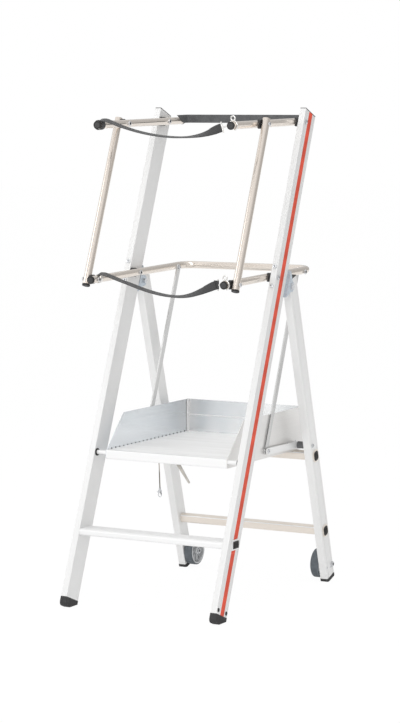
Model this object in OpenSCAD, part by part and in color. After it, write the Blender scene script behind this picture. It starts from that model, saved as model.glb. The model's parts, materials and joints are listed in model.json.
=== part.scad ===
// Podium step: folding work platform with one tread, toe boards, guard rail and a wheeled rear frame.
// Millimetres, +Z up, front towards -Y. The hinge line of every fold runs along X.

/* [Heights] */
// Standing surface above the floor
platform_h = 500; // [400:5:700]
// Top of the tread above the floor
tread_h = 250; // [180:5:320]
// Lower crossbar's middle above the floor
crossbar_low_h = 184; // [120:1:260]

/* [Front stiles] */
// Width over both stiles
frame_w = 569; // [480:1:700]
// Length of a stile
stile_len = 1700; // [1300:5:2000]
// Lean of the stiles from upright, in degrees
stile_lean = 21.5; // [12:0.5:26]
// Narrow face of a stile
stile_w = 22; // [20:0.5:35]
// Depth of a stile
stile_d = 78; // [55:1:90]
// Wall of a stile
stile_wall = 2.6; // [1.8:0.1:4]
// Rounded long edges of a stile
stile_edge_r = 1.6; // [0.6:0.1:3]
// Square-cut front corner of a stile above the floor
stile_lift = 40; // [28:1:60]
// Width of the stripe in its groove
stripe_w = 26; // [12:0.5:30]
// Depth of the stripe groove
stripe_t = 1.2; // [0.6:0.1:2]
// Distance of the stripe from the stile's front
stripe_from = 28; // [20:0.5:32]
// Width of the two plain flutes beside the stripe
flute_w = 13; // [6:0.5:16]
// Depth of the plain flutes
flute_t = 0.7; // [0.3:0.1:1.2]
// Thickness of a stile's top cap
top_cap_t = 2.5; // [1.5:0.1:5]
// Thickness of the front foot below the stile's cut end
front_sole = 30; // [20:1:42]
// Rounding of the front foot's lower corners
front_sole_r = 14; // [6:1:18]

/* [Tread] */
// Depth of the tread
tread_d = 83; // [70:1:110]
// Thickness of the tread
tread_t = 22; // [16:0.5:30]
// Wall of the tread
tread_wall = 2.4; // [1.6:0.1:4]
// Rounded nose and back of the tread
tread_nose_r = 7; // [3:0.5:10]
// Height of the grip ribs on the tread
tread_rib_h = 1.2; // [0.5:0.1:2]
// Spacing of the grip ribs on the tread
tread_rib_pitch = 8; // [6:0.5:14]
// Depth of the tube that passes through the stiles
tenon_d = 33; // [24:0.5:36]
// Reach of the flared collar around that tube
flare_w = 5.5; // [2:0.5:7]
// Thickness of a flared collar
flare_t = 3; // [1:0.1:4]

/* [Rear frame] */
// Lean of the rear legs from upright, in degrees
leg_lean = 17.5; // [10:0.5:22]
// Narrow face of a rear leg
leg_w = 27; // [20:0.5:35]
// Depth of a rear leg
leg_d = 57; // [48:1:70]
// Rear leg outside the middle of its stile
leg_shift = 4; // [0:0.5:6]
// Wall of a rear leg
leg_wall = 2.4; // [1.6:0.1:4]
// Front of the leg to the hinge bolt
leg_pin_in = 11; // [9:0.5:16]
// Leg above the hinge bolt
leg_head = 22; // [20:1:36]
// Square-cut front corner of a leg above the floor
leg_lift = 10; // [8:0.5:16]
// Thickness of the rear foot below the cut end
rear_sole = 14; // [11:0.5:22]
// Height of a crossbar, along the leg
crossbar_h = 30; // [22:1:38]
// Depth of a crossbar
crossbar_d = 27; // [20:1:36]
// Rounded edges of a crossbar
crossbar_r = 8; // [4:0.5:10]
// Wall of a crossbar
crossbar_wall = 2; // [1.4:0.1:3]
// Front of the leg to a crossbar's middle
crossbar_back = 28; // [26:0.5:34]

/* [Rear hinge] */
// Hinge bolt's distance up the stile
hinge_up = 1115; // [1000:1:1250]
// Hinge bolt behind the stile
hinge_back = 29; // [28:0.5:45]
// Diameter of the hinge bolt
hinge_bolt_d = 10; // [8:0.5:12]
// Plate of the hinge bracket
bracket_t = 2.5; // [2:0.1:4]
// Height of the hinge bracket's base
bracket_h = 92; // [80:1:120]
// Spacing of the two bolts that hold a bracket
bracket_bolt_gap = 66; // [50:1:76]
// Rounded end of the bracket's cheeks
cheek_r = 17; // [12:0.5:20]

/* [Wheels] */
// Diameter of a wheel
wheel_d = 100; // [80:1:125]
// Width of a wheel
wheel_w = 30; // [18:1:36]
// Gap between a wheel and its leg
wheel_gap = 2.5; // [1:0.1:6]
// Wheel above the floor while the step stands
wheel_lift = 8; // [2:0.5:10]
// Front of the leg to the axle
axle_back = 47; // [38:0.5:48]
// Diameter of the axle
axle_d = 10; // [8:0.5:14]
// Thickness of the tyre
tyre_t = 5; // [3:0.5:9]
// Diameter of the hub's middle boss
boss_d = 24; // [18:0.5:34]

/* [Platform] */
// Front to back
platform_d = 574; // [450:1:700]
// Height of the front profile and the deck
deck_h = 30; // [24:1:40]
// Depth of the front profile
front_d = 34; // [26:1:44]
// Wall of the front profile
front_wall = 2.5; // [1.6:0.1:4]
// Rounded long edges of the front profile
front_r = 4; // [1:0.5:6]
// Pivot pin below the standing surface
pivot_drop = 10; // [9:0.5:15]
// Front face ahead of the pivot pin
pivot_lead = 9; // [8.5:0.5:14]
// Diameter of the pivot pin
pivot_d = 14; // [10:0.5:16]
// Plate of the deck
deck_plate_t = 2.5; // [1.6:0.1:4]
// Height of the deck's grip planks
plank_h = 2; // [1:0.1:3]
// Spacing of the deck's planks
plank_pitch = 26.8; // [20:0.1:40]
// Groove between two planks
plank_groove = 5; // [3:0.5:8]
// Stiffening webs below the deck
web_count = 7; // [4:1:9]
// Thickness of a web
web_t = 2.2; // [1.5:0.1:4]
// First and last web from the deck's ends
web_in = 12; // [8:1:20]
// Height of the toe boards above the deck
toe_h = 113; // [100:1:160]
// Sheet of the toe boards
toe_t = 2.5; // [1.5:0.1:4]
// Run of the sloping front edge of the side toe boards
toe_slope = 117; // [70:1:160]
// Start of that slope behind the front face
toe_slope_from = 4; // [2:0.5:10]
// Upright flange at each end of the rear toe board
toe_flange = 14; // [8:0.5:24]
// Height of the doubled lower part of the rear toe board
toe_double_h = 60; // [40:1:80]

/* [Guard rail] */
// Diameter of the rail tubes
tube_d = 25; // [20:0.5:32]
// Wall of the rail tubes
tube_wall = 2; // [1.4:0.1:3]
// Hand rail pivot's distance up the stile
hand_up = 1658; // [1400:1:1680]
// Knee rail pivot's distance up the stile
knee_up = 1115; // [950:1:1250]
// Pivots behind the stile's front
rail_in = 15; // [14:0.5:24]
// Tilt of the rails, rear up, in degrees
rail_tilt = 1.8; // [0:0.1:4]
// Gap between a rail tube and the stile
saddle_t = 7.5; // [4:0.5:10]
// Gap between a rail tube and its upright
upright_gap = 5; // [5:0.5:8]
// Diameter of the saddles
saddle_d = 30; // [26:0.5:36]
// Saddle's hold on the tube, measured from the tube's middle outwards
saddle_from = 5; // [3:0.5:9]
// Hand rail ahead of its pivot
hand_front = 463; // [380:1:560]
// Hand rail behind its pivot
hand_back = 114; // [80:1:160]
// Knee rail ahead of its pivot
knee_front = 304; // [290:1:400]
// Knee rail's rear bar behind its pivot
knee_back = 338; // [325:1:420]
// Bend of the knee rail
knee_bend_r = 50; // [38:1:60]
// Uprights ahead of the stiles
upright_lead = 277; // [220:1:285]
// Upright beyond its end bolts
upright_over = 19; // [16:0.5:30]
// Thickness of the tube caps
tube_cap_t = 4; // [2:0.5:6]
// Diameter of the rail bolts
bolt_d = 8; // [6:0.5:10]
// Height of the back band
band_h = 28; // [20:1:40]
// Thickness of the back band
band_t = 3; // [2:0.1:5]
// Bend of the back band
band_r = 14; // [8:0.5:24]
// Hold of the back band along each hand rail
band_hold = 58; // [50:1:70]
// Slant of the back band's ends
band_slant = 46; // [20:1:48]
// Back band above the hand rail's middle
band_up = 6; // [-4:0.5:10]

/* [Struts and links] */
// Pivot to strut, the same on the knee rail and the platform
strut_crank = 266; // [220:1:272]
// Strut's bolts below the rail's middle line
strut_drop = 4; // [0:0.5:5]
// Width of a strut
strut_w = 22; // [12:0.5:24]
// Thickness of a strut
strut_t = 5; // [3:0.5:5.5]
// Width of a link
link_w = 22; // [16:0.5:28]
// Thickness of a link
link_t = 5; // [3:0.5:8]
// Link's rear bolt above the floor
link_leg_h = 490; // [474:1:500]
// Link's rear bolt behind the leg's front
link_back = 16; // [14:0.5:20]
// Diameter of the link's spacer
spacer_d = 24; // [18:0.5:30]

/* [Straps and cord] */
// Width of the strap webbing
strap_w = 28; // [20:1:32]
// Thickness of the strap webbing
strap_t = 2; // [1.2:0.1:3]
// Wire of the strap fittings
hook_wire = 4.5; // [3:0.5:6]
// Width of the strap ring along the tube
ring_w = 10; // [6:0.5:12]
// Sheet of the strap ring
ring_t = 1.6; // [1:0.1:3]
// Lower clip hook behind the front end of the knee rail
knee_hook_in = 6.5; // [6.5:0.5:7]
// Lower strap ring behind the upright's bolt
knee_ring_back = 22; // [21:0.5:40]
// Strap fittings behind the front end of the hand rail
hand_ring_in = 15; // [7:0.5:40]
// Diameter of the hold cord
cord_d = 4; // [3:0.5:5]
// Wire of the cord's hook
cord_hook_wire = 3; // [2:0.5:4]

/* [Release lever] */
// Lever's pivot to the right of the middle
lever_x = 17; // [10:1:80]
// Lever's pivot above the deck's underside
lever_rise = 8; // [4:0.5:9]
// Length of the lever
lever_len = 88; // [60:1:100]
// Hang of the lever from straight down, in degrees
lever_hang = 35; // [20:1:50]
// Thickness of the lever
lever_t = 4; // [3:0.5:6]
// Diameter of the lever's eye
lever_eye_d = 15; // [12:0.5:18]
// Width of the lever's tip
lever_tip_w = 6; // [4:0.5:9]
// Diameter of the lever's pin
lever_pin_d = 6; // [4:0.5:7]

/* [Fits] */
// Radial play of a turning pin in its bore
run_gap = 0.05; // [0.02:0.01:0.1]
// Play of a bolt, plug or tube that stays put
hole_gap = 0.05; // [0.02:0.01:0.1]
// Gap between faces that turn past each other
body_gap = 0.5; // [0.3:0.05:0.6]
// Gap between the platform and the crossbar it comes down on
rest_gap = 0.6; // [0.4:0.1:2]

/* [Hidden] */
$fn = 40;
// Overlap of a cut beyond the surface it opens
cut = 1;
// Depth of a plug inside a hollow end
plug_in = 14;
// Wall of the hollow plugs
plug_wall = 2;

// Stile planes across the step
stile_out = frame_w / 2;
stile_in = stile_out - stile_w;
stile_mid = stile_out - stile_w / 2;
leg_mid = stile_mid + leg_shift;
leg_in = leg_mid - leg_w / 2;
leg_out = leg_mid + leg_w / 2;
tube_r = tube_d / 2;
rail_x = stile_in - saddle_t - tube_r;
rail_inner = rail_x - tube_r;
upright_x = rail_x + tube_d + upright_gap;

// A place on the side view: s up the stile, d behind its front
function on_stile(s, d) = [
    s * sin(stile_lean) + d * cos(stile_lean),
    stile_lift + s * cos(stile_lean) - d * sin(stile_lean)
];
// A place along a tilted rail
function along_rail(at, r) = [at[0] + r * cos(rail_tilt), at[1] + r * sin(rail_tilt)];
// Height on the leg for a level above the floor, a behind the pin line
function leg_height(z, a) = (z - hinge_at[1] - a * sin(leg_lean)) / cos(leg_lean);
function on_leg(a, h) = [
    hinge_at[0] + a * cos(leg_lean) - h * sin(leg_lean),
    hinge_at[1] + a * sin(leg_lean) + h * cos(leg_lean)
];

platform_up = (platform_h - pivot_drop - stile_lift + rail_in * sin(stile_lean)) / cos(stile_lean);
platform_at = on_stile(platform_up, rail_in);
knee_at = on_stile(knee_up, rail_in);
hand_at = on_stile(hand_up, rail_in);
hinge_at = on_stile(hinge_up, stile_d + hinge_back);
strut_top_at = along_rail(knee_at, strut_crank) - [0, strut_drop];
strut_low_at = along_rail(platform_at, strut_crank) - [0, strut_drop];
upright_low_at = along_rail(knee_at, -upright_lead);
upright_len = hand_up - knee_up;

// Platform planes on the side view
deck_low = platform_h - deck_h;
deck_front = platform_at[0] - pivot_lead;
deck_start = deck_front + front_d;
deck_back = deck_front + platform_d;
// The platform fits between the rails, with a strut on each side
platform_w = 2 * (rail_inner - strut_t - 2 * body_gap);
deck_in_w = platform_w - 2 * toe_t;
plate_top = platform_h - plank_h;
plate_low = plate_top - deck_plate_t;

// Planes beside the platform, from the toe board outwards
strut_x = platform_w / 2 + body_gap;
stud_head_x = strut_x + strut_t + body_gap;
stud_head_t = 2;
link_x = stud_head_x + stud_head_t + body_gap;
spacer_x = link_x + link_t + body_gap;

// Rear frame places, measured from the hinge bolt
leg_low = leg_height(leg_lift, -leg_pin_in);
bar_a = crossbar_back - leg_pin_in;
bar_rise = (crossbar_h / 2 - crossbar_r) * cos(leg_lean)
    + (crossbar_d / 2 - crossbar_r) * sin(leg_lean) + crossbar_r;
bar_low_h = leg_height(crossbar_low_h, bar_a);
bar_high_h = leg_height(deck_low - rest_gap - bar_rise, bar_a);
axle_a = axle_back - leg_pin_in;
axle_h = leg_height(wheel_d / 2 + wheel_lift, axle_a);
axle_at = on_leg(axle_a, axle_h);
link_a = link_back - leg_pin_in;
link_h = leg_height(link_leg_h, link_a);
link_leg_at = on_leg(link_a, link_h);
wheel_x = leg_in - wheel_gap - wheel_w;

// Front foot, and the step's middle from front to back
foot_d = stile_d;
foot_front = front_sole_r * cos(stile_lean) + (front_sole_r - front_sole) * sin(stile_lean) - front_sole_r;
middle_y = -(axle_at[0] + wheel_d / 2 + foot_front) / 2;

// Tread places on the side view
tread_lead = 2.5;
tread_front = (tread_h - stile_lift) * tan(stile_lean) - tread_lead;
tenon_from = tread_front + (tread_d - tenon_d) / 2 + tread_lead;
tread_low = tread_h - tread_t;

// Sizes of heads, nuts and washers as shares of the bolt
head_d_share = 1.6;
head_h_share = 0.5;
nut_h_share = 0.6;
bush_flange_share = 1.75;
bush_body_share = 1.3;
bush_flange_t = 3;

// Strap routes: left tube to right hook, in the part's own place
knee_strap_route = [
    [-240, -282, 1080.2], [-228, -282, 1080.2], [-220, -283, 1079.9], [-190, -287, 1072],
    [-156, -291, 1062], [-116, -295, 1051], [-77, -299, 1040], [-39, -303, 1031],
    [0, -307, 1024], [38, -311, 1020], [77, -315, 1020], [115, -319, 1026],
    [152, -322, 1038], [184, -324, 1051], [200, -324.5, 1058], [210.5, -324.5, 1061.2]
];
hand_strap_y = -275.5;
hand_strap_route = [
    [-240, hand_strap_y, 1579], [-222, hand_strap_y, 1579], [-202, hand_strap_y, 1573],
    [-168, hand_strap_y, 1561], [-131, hand_strap_y, 1550], [-94, hand_strap_y, 1541],
    [-57, hand_strap_y, 1534], [-20, hand_strap_y, 1529], [16, hand_strap_y, 1526],
    [52, hand_strap_y, 1525], [88, hand_strap_y, 1527], [124, hand_strap_y, 1532],
    [152, hand_strap_y, 1539], [172, hand_strap_y, 1546], [188, hand_strap_y, 1552], [200, hand_strap_y, 1556]
];
// Hold cord below the deck, eye to hook
cord_x = -168;
cord_y = -4;
cord_route = [
    [cord_x, cord_y, 458], [cord_x, cord_y, 440], [-166, cord_y, 415],
    [-165, cord_y, 390], [-164, cord_y, 365], [-163, cord_y, 344]
];

// Colours
white_alu = [0.93, 0.93, 0.93];
mill_alu = [0.72, 0.74, 0.77];
warm_alu = [0.86, 0.83, 0.79];
zinc = [0.68, 0.72, 0.78];
steel = [0.75, 0.76, 0.78];
black_plastic = [0.12, 0.12, 0.13];
dark_plastic = [0.2, 0.2, 0.21];
grey_plastic = [0.62, 0.65, 0.68];
rubber_grey = [0.32, 0.35, 0.38];
red_stripe = [0.82, 0.3, 0.22];
webbing = [0.1, 0.1, 0.11];

// Which sub-part to draw

// Places
module stand() translate([0, middle_y, 0]) children();
module stile_frame() translate([0, 0, stile_lift]) rotate([-stile_lean, 0, 0]) children();
module leg_frame() translate([0, hinge_at[0], hinge_at[1]]) rotate([leg_lean, 0, 0]) children();
module rail_frame(at) translate([0, at[0], at[1]]) rotate([rail_tilt, 0, 0]) children();
module both_sides() {
    children();
    mirror([1, 0, 0]) children();
}
// A plate across X, drawn as its side view
module side_plate(x, t) translate([x, 0, 0]) rotate([90, 0, 90]) linear_extrude(t) children();
// A round bar across X between two planes
module cross_bar(at, r, x0, x1) translate([x0, at[0], at[1]]) rotate([0, 90, 0]) cylinder(r = r, h = x1 - x0);

// A rectangle with rounded corners
module soft_rect(w, d, r) {
    translate([r, 0]) square([w - 2 * r, d]);
    translate([0, r]) square([w, d - 2 * r]);
    for (x = [r, w - r])
        for (y = [r, d - r])
            translate([x, y]) circle(r);
}

// A bolt across X: head on the outside, shank, and a nut on the inside
module cross_bolt(at, d, x_nut, x_head, nut_h) {
    cross_bar(at, d / 2, x_nut - nut_h, x_head);
    cross_bar(at, d * head_d_share / 2, x_head, x_head + d * head_h_share);
    cross_bar(at, d * head_d_share / 2, x_nut - nut_h, x_nut);
}

// Front frame
module stile_section() difference() {
    soft_rect(stile_w, stile_d, stile_edge_r);
    translate([stile_wall, stile_wall]) square([stile_w - 2 * stile_wall, stile_d - 2 * stile_wall]);
    translate([stile_w - stripe_t, stripe_from]) square([stripe_t + cut, stripe_w]);
    translate([stile_w - flute_t, (stripe_from - flute_w) / 2]) square([flute_t + cut, flute_w]);
    translate([stile_w - flute_t, (stile_d + stripe_from + stripe_w - flute_w) / 2])
        square([flute_t + cut, flute_w]);
}

module tenon(x0, x1, grow) translate([x0, tenon_from - grow, tread_low - grow])
    cube([x1 - x0, tenon_d + 2 * grow, tread_t + 2 * grow]);

module stile_one() difference() {
    stile_frame() translate([stile_in, 0, 0]) linear_extrude(stile_len) stile_section();
    tenon(stile_in - cut, stile_out + cut, hole_gap);
    for (at = [knee_at, hand_at])
        cross_bar(at, bolt_d / 2 + hole_gap, stile_in - cut, stile_out + cut);
    cross_bar(platform_at, pivot_d * bush_body_share / 2 + hole_gap, stile_in - cut, stile_in + stile_wall + cut);
    stile_frame()
        for (side = [-1, 1])
            translate([stile_mid, -cut, hinge_up + side * bracket_bolt_gap / 2])
                rotate([-90, 0, 0]) cylinder(r = bolt_d / 2 + hole_gap, h = stile_d + 2 * cut);
}
module front_stile_right() color(white_alu) stand() stile_one();
module front_stile_left() color(white_alu) stand() mirror([1, 0, 0]) stile_one();

module stripe_one() difference() {
    stile_frame() translate([stile_out - stripe_t, stripe_from, 0])
        cube([stripe_t, stripe_w, stile_len]);
    tenon(stile_in, stile_out + cut, flare_w + body_gap);
}
module stile_stripes() color(red_stripe) stand() both_sides() stripe_one();

// A hollow plug for a box section
module box_plug(w, d, wall, h) difference() {
    translate([wall + hole_gap, wall + hole_gap, 0])
        cube([w - 2 * wall - 2 * hole_gap, d - 2 * wall - 2 * hole_gap, h]);
    translate([wall + plug_wall, wall + plug_wall, -cut])
        cube([w - 2 * wall - 2 * plug_wall, d - 2 * wall - 2 * plug_wall, h + 2 * cut]);
}
module top_cap_one() stile_frame() translate([stile_in, 0, stile_len]) {
    linear_extrude(top_cap_t) soft_rect(stile_w, stile_d, stile_edge_r);
    translate([0, 0, -plug_in]) box_plug(stile_w, stile_d, stile_wall, plug_in);
}
module stile_top_caps() color(dark_plastic) stand() both_sides() top_cap_one();

// The foot's block is cut level with the floor
module floor_cut() translate([-frame_w, -frame_w, -stile_len]) cube([frame_w * 2, stile_len * 2, stile_len]);
module front_foot_one() difference() {
    stile_frame() {
        side_plate(stile_in, stile_w) translate([0, -front_sole]) {
            soft_rect(foot_d, front_sole, front_sole_r);
            translate([0, front_sole - front_sole_r]) square([foot_d, front_sole_r]);
        }
        translate([stile_in, 0, 0]) box_plug(stile_w, stile_d, stile_wall, plug_in);
    }
    floor_cut();
}
module front_feet() color(dark_plastic) stand() both_sides() front_foot_one();

// Tread
tread_rib_count = floor((tread_d - 2 * tread_nose_r) / tread_rib_pitch);
module tread_profile() {
    difference() {
        soft_rect(tread_d, tread_t - tread_rib_h, tread_nose_r);
        translate([tread_nose_r, tread_wall])
            square([tread_d - 2 * tread_nose_r, tread_t - tread_rib_h - 2 * tread_wall]);
    }
    for (i = [0 : tread_rib_count - 1])
        translate([tread_nose_r + i * tread_rib_pitch, tread_t - 2 * tread_rib_h])
            square([tread_rib_pitch / 2, 2 * tread_rib_h]);
}
module tread_end() {
    difference() {
        union() {
            tenon(stile_in, stile_out + flare_t, 0);
            tenon(stile_out, stile_out + flare_t, flare_w);
        }
        tenon(stile_in - cut, stile_out + flare_t + cut, -tread_wall);
    }
}
module tread() color(white_alu) stand() {
    translate([0, tread_front, tread_low]) side_plate(-stile_in, 2 * stile_in) tread_profile();
    both_sides() tread_end();
}
module tread_plug_one() {
    tenon(stile_out - plug_in, stile_out + flare_t, -tread_wall - hole_gap);
    tenon(stile_out + flare_t, stile_out + 2 * flare_t, -tread_wall + flare_w / 2);
}
module tread_plugs() color(black_plastic) stand() both_sides() tread_plug_one();

// Rear hinge
cheek_gap = leg_w / 2 + body_gap;
module cheek_shape() {
    translate([stile_d + hinge_back, hinge_up]) circle(cheek_r);
    polygon([
        [stile_d, hinge_up - bracket_h / 2], [stile_d, hinge_up + bracket_h / 2],
        [stile_d + bracket_t, hinge_up + bracket_h / 2], [stile_d + hinge_back, hinge_up + cheek_r],
        [stile_d + hinge_back, hinge_up - cheek_r], [stile_d + bracket_t, hinge_up - bracket_h / 2]
    ]);
}
module bracket_one() difference() {
    stile_frame() {
        side_plate(leg_mid - cheek_gap - bracket_t, bracket_t) cheek_shape();
        side_plate(leg_mid + cheek_gap, bracket_t) cheek_shape();
        translate([leg_mid - cheek_gap - bracket_t, stile_d, hinge_up - bracket_h / 2])
            cube([2 * cheek_gap + 2 * bracket_t, bracket_t, bracket_h]);
    }
    cross_bar(hinge_at, hinge_bolt_d / 2 + hole_gap, stile_in - stile_w, stile_out + stile_w);
    stile_frame()
        for (side = [-1, 1])
            translate([stile_mid, stile_d - cut, hinge_up + side * bracket_bolt_gap / 2])
                rotate([-90, 0, 0]) cylinder(r = bolt_d / 2 + hole_gap, h = bracket_t + 2 * cut);
}
module hinge_brackets() color(zinc) stand() both_sides() bracket_one();

module hinge_bolt_one() {
    cross_bolt(hinge_at, hinge_bolt_d, leg_mid - cheek_gap - bracket_t,
        leg_mid + cheek_gap + bracket_t, hinge_bolt_d * nut_h_share);
}
module hinge_bolts() color(steel) stand() both_sides() hinge_bolt_one();

module bracket_bolt_one(up) stile_frame() translate([stile_mid, 0, up]) rotate([-90, 0, 0]) {
    cylinder(r = bolt_d / 2, h = stile_d + bracket_t + bolt_d * nut_h_share);
    translate([0, 0, -bolt_d * head_h_share]) cylinder(r = bolt_d * head_d_share / 2, h = bolt_d * head_h_share);
    translate([0, 0, stile_d + bracket_t])
        cylinder(r = bolt_d * head_d_share / 2, h = bolt_d * nut_h_share);
}
module bracket_bolts() color(steel) stand() both_sides() {
    bracket_bolt_one(hinge_up - bracket_bolt_gap / 2);
    bracket_bolt_one(hinge_up + bracket_bolt_gap / 2);
}

// Flanged bush in the stile's inner wall
module bush_one() difference() {
    union() {
        cross_bar(platform_at, pivot_d * bush_flange_share / 2, stile_in - bush_flange_t, stile_in);
        cross_bar(platform_at, pivot_d * bush_body_share / 2, stile_in - bush_flange_t,
            stile_in + stile_wall + bush_flange_t);
    }
    cross_bar(platform_at, pivot_d / 2 + run_gap, stile_in - bush_flange_t - cut,
        stile_in + stile_wall + bush_flange_t + cut);
}
module platform_bushes() color(black_plastic) stand() both_sides() bush_one();

module rail_pivot_one(at) cross_bolt(at, bolt_d, rail_inner - body_gap, stile_out, bolt_d * nut_h_share);
module rail_pivot_bolts() color(steel) stand() both_sides() {
    rail_pivot_one(knee_at);
    rail_pivot_one(hand_at);
}

// Platform
deck_len = deck_back - toe_t - deck_start;
plank_count = floor(deck_len / plank_pitch);
plank_first = (deck_len - plank_count * plank_pitch + plank_groove) / 2;
module deck_profile() {
    translate([deck_start, plate_low]) square([deck_len, deck_plate_t]);
    for (i = [0 : plank_count - 1])
        translate([deck_start + plank_first + i * plank_pitch, plate_low])
            square([plank_pitch - plank_groove, deck_plate_t + plank_h]);
    for (i = [0 : web_count - 1])
        translate([deck_start + web_in + i * (deck_len - 2 * web_in - web_t) / (web_count - 1), deck_low])
            square([web_t, plate_low - deck_low + deck_plate_t / 2]);
}
module platform_deck() color(mill_alu) stand() side_plate(-deck_in_w / 2, deck_in_w) deck_profile();

module platform_front_profile() color(white_alu) stand() difference() {
    translate([0, deck_front, deck_low]) side_plate(-deck_in_w / 2, deck_in_w) soft_rect(front_d, deck_h, front_r);
    translate([0, deck_front, deck_low]) side_plate(-deck_in_w / 2 - cut, deck_in_w + 2 * cut)
        translate([front_wall, front_wall]) square([front_d - 2 * front_wall, deck_h - 2 * front_wall]);
}
module pivot_pin_one() cross_bar(platform_at, pivot_d / 2, deck_in_w / 2, stile_in + stile_wall + bush_flange_t);
module platform_pivot_pins() color(white_alu) stand() both_sides() pivot_pin_one();

module toe_side_shape() polygon([
    [deck_front + toe_slope_from, deck_low], [deck_back, deck_low], [deck_back, platform_h + toe_h],
    [deck_front + toe_slope, platform_h + toe_h], [deck_front + toe_slope_from, platform_h],
    [deck_front, platform_h - toe_slope_from], [deck_front, deck_low + toe_slope_from]
]);
module toe_side_one() difference() {
    side_plate(deck_in_w / 2, toe_t) toe_side_shape();
    cross_bar(strut_low_at, bolt_d / 2 + hole_gap, deck_in_w / 2 - cut, platform_w / 2 + cut);
    cross_bar(platform_at, pivot_d / 2 + hole_gap, deck_in_w / 2 - cut, platform_w / 2 + cut);
}
module toe_board_right() color(mill_alu) stand() toe_side_one();
module toe_board_left() color(mill_alu) stand() mirror([1, 0, 0]) toe_side_one();
module toe_board_rear() color(mill_alu) stand() {
    translate([-deck_in_w / 2, deck_back - toe_t, deck_low]) cube([deck_in_w, toe_t, deck_h + toe_h]);
    translate([-deck_in_w / 2, deck_back - 2 * toe_t, platform_h]) cube([deck_in_w, 2 * toe_t, toe_double_h]);
    both_sides() translate([deck_in_w / 2 - toe_t, deck_back - toe_t - toe_flange, platform_h])
        cube([toe_t, toe_flange + toe_t, toe_h]);
}

// Studs that carry the struts and the links; the head ends between them
module stud_one() {
    cross_bar(strut_low_at, bolt_d / 2, deck_in_w / 2, stud_head_x);
    cross_bar(strut_low_at, bolt_d * head_d_share / 2, stud_head_x, stud_head_x + stud_head_t);
}
module platform_studs() color(steel) stand() both_sides() stud_one();

// Lever bracket on the front profile, and the eye of the hold cord
lever_z = deck_low + lever_rise;
lever_plate_t = 3;
lever_plate_w = 24;
lever_plate_up = 18;
lever_play = lever_eye_d / 2;
eye_r = 5;
eye_wire = 3;
module lever_bracket() {
    translate([lever_x - lever_plate_w / 2, deck_start, lever_z - lever_play])
        cube([lever_plate_w, lever_plate_t, lever_plate_up + lever_play - lever_rise]);
    translate([lever_x, deck_start, lever_z]) rotate([-90, 0, 0])
        cylinder(r = lever_pin_d / 2, h = lever_plate_t + lever_t + 2 * body_gap + lever_plate_t);
    translate([lever_x, deck_start + lever_plate_t + lever_t + 2 * body_gap, lever_z]) rotate([-90, 0, 0])
        cylinder(r = lever_pin_d * head_d_share / 2, h = lever_plate_t);
}
eye_z = cord_route[0][2] + eye_r + eye_wire / 2 + body_gap / 2;
module cord_eye() translate([cord_x, cord_y, eye_z]) {
    rotate([0, 90, 0]) rotate_extrude() translate([eye_r, 0]) circle(eye_wire / 2);
    translate([0, 0, eye_r]) cylinder(r = eye_wire * stem_share, h = plate_low - eye_z - eye_r);
}
stem_share = 0.7;
module underdeck_brackets() color(zinc) {
    stand() lever_bracket();
    cord_eye();
}
module release_lever() color(grey_plastic) stand()
    translate([lever_x, deck_start + lever_plate_t + body_gap, lever_z]) rotate([-90, 0, 0]) difference() {
        rotate([0, 0, -lever_hang]) linear_extrude(lever_t) {
            circle(lever_eye_d / 2);
            polygon([
                [-lever_eye_d * eye_share, 0], [lever_eye_d * eye_share, 0],
                [lever_tip_w / 2, lever_len - lever_tip_w / 2], [-lever_tip_w / 2, lever_len - lever_tip_w / 2]
            ]);
            translate([0, lever_len - lever_tip_w / 2]) circle(lever_tip_w / 2);
        }
        translate([0, 0, -cut]) cylinder(r = lever_pin_d / 2 + run_gap, h = lever_t + 2 * cut);
    }
eye_share = 0.45;

// Swept forms: a ring of corners at every route point, joined to the next ring
function ahead(route, i) = route[min(i + 1, len(route) - 1)] - route[max(i - 1, 0)];
function level(v) = v / norm(v);
function strap_side(route, i, turn) = let (
    t = level(ahead(route, i)),
    n = cross(t, [0, 1, 0])
) [cos(turn) * [0, 1, 0] + sin(turn) * n, cross(t, cos(turn) * [0, 1, 0] + sin(turn) * n)];
module sweep(rings) {
    sides = len(rings[0]);
    last = len(rings) - 1;
    polyhedron(
        points = [for (ring = rings) each ring],
        faces = concat(
            [[for (k = [0 : sides - 1]) k]],
            [for (i = [0 : last - 1]) for (k = [0 : sides - 1])
                [i * sides + k, (i + 1) * sides + k, (i + 1) * sides + (k + 1) % sides]],
            [for (i = [0 : last - 1]) for (k = [0 : sides - 1])
                [i * sides + k, (i + 1) * sides + (k + 1) % sides, i * sides + (k + 1) % sides]],
            [[for (k = [sides - 1 : -1 : 0]) last * sides + k]]
        )
    );
}
strap_shape = [
    [-strap_w / 2, -strap_t / 4], [-strap_w / 2 + strap_t / 2, -strap_t / 2],
    [strap_w / 2 - strap_t / 2, -strap_t / 2], [strap_w / 2, -strap_t / 4],
    [strap_w / 2, strap_t / 4], [strap_w / 2 - strap_t / 2, strap_t / 2],
    [-strap_w / 2 + strap_t / 2, strap_t / 2], [-strap_w / 2, strap_t / 4]
];
// The strap lies flat on the left and stands on edge at the hook
function strap_turn(i, last) = let (u = max(0, (i - last * twist_share) / (last - last * twist_share)))
    90 * u * u * (3 - 2 * u);
twist_share = 0.6;
// Steps between two route points
strap_steps = 4;
function dense(route) = [
    for (i = [0 : len(route) - 2]) for (k = [0 : strap_steps - 1])
        route[i] + (route[i + 1] - route[i]) * k / strap_steps,
    route[len(route) - 1]
];
module strap(route) {
    path = dense(route);
    last = len(path) - 1;
    sweep([
        for (i = [0 : last]) let (side = strap_side(path, i, strap_turn(i, last)))
            [for (c = strap_shape) path[i] + c[0] * side[0] + c[1] * side[1]]
    ]);
}
module strap_lower() color(webbing) strap(knee_strap_route);
module strap_upper() color(webbing) strap(hand_strap_route);

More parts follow.
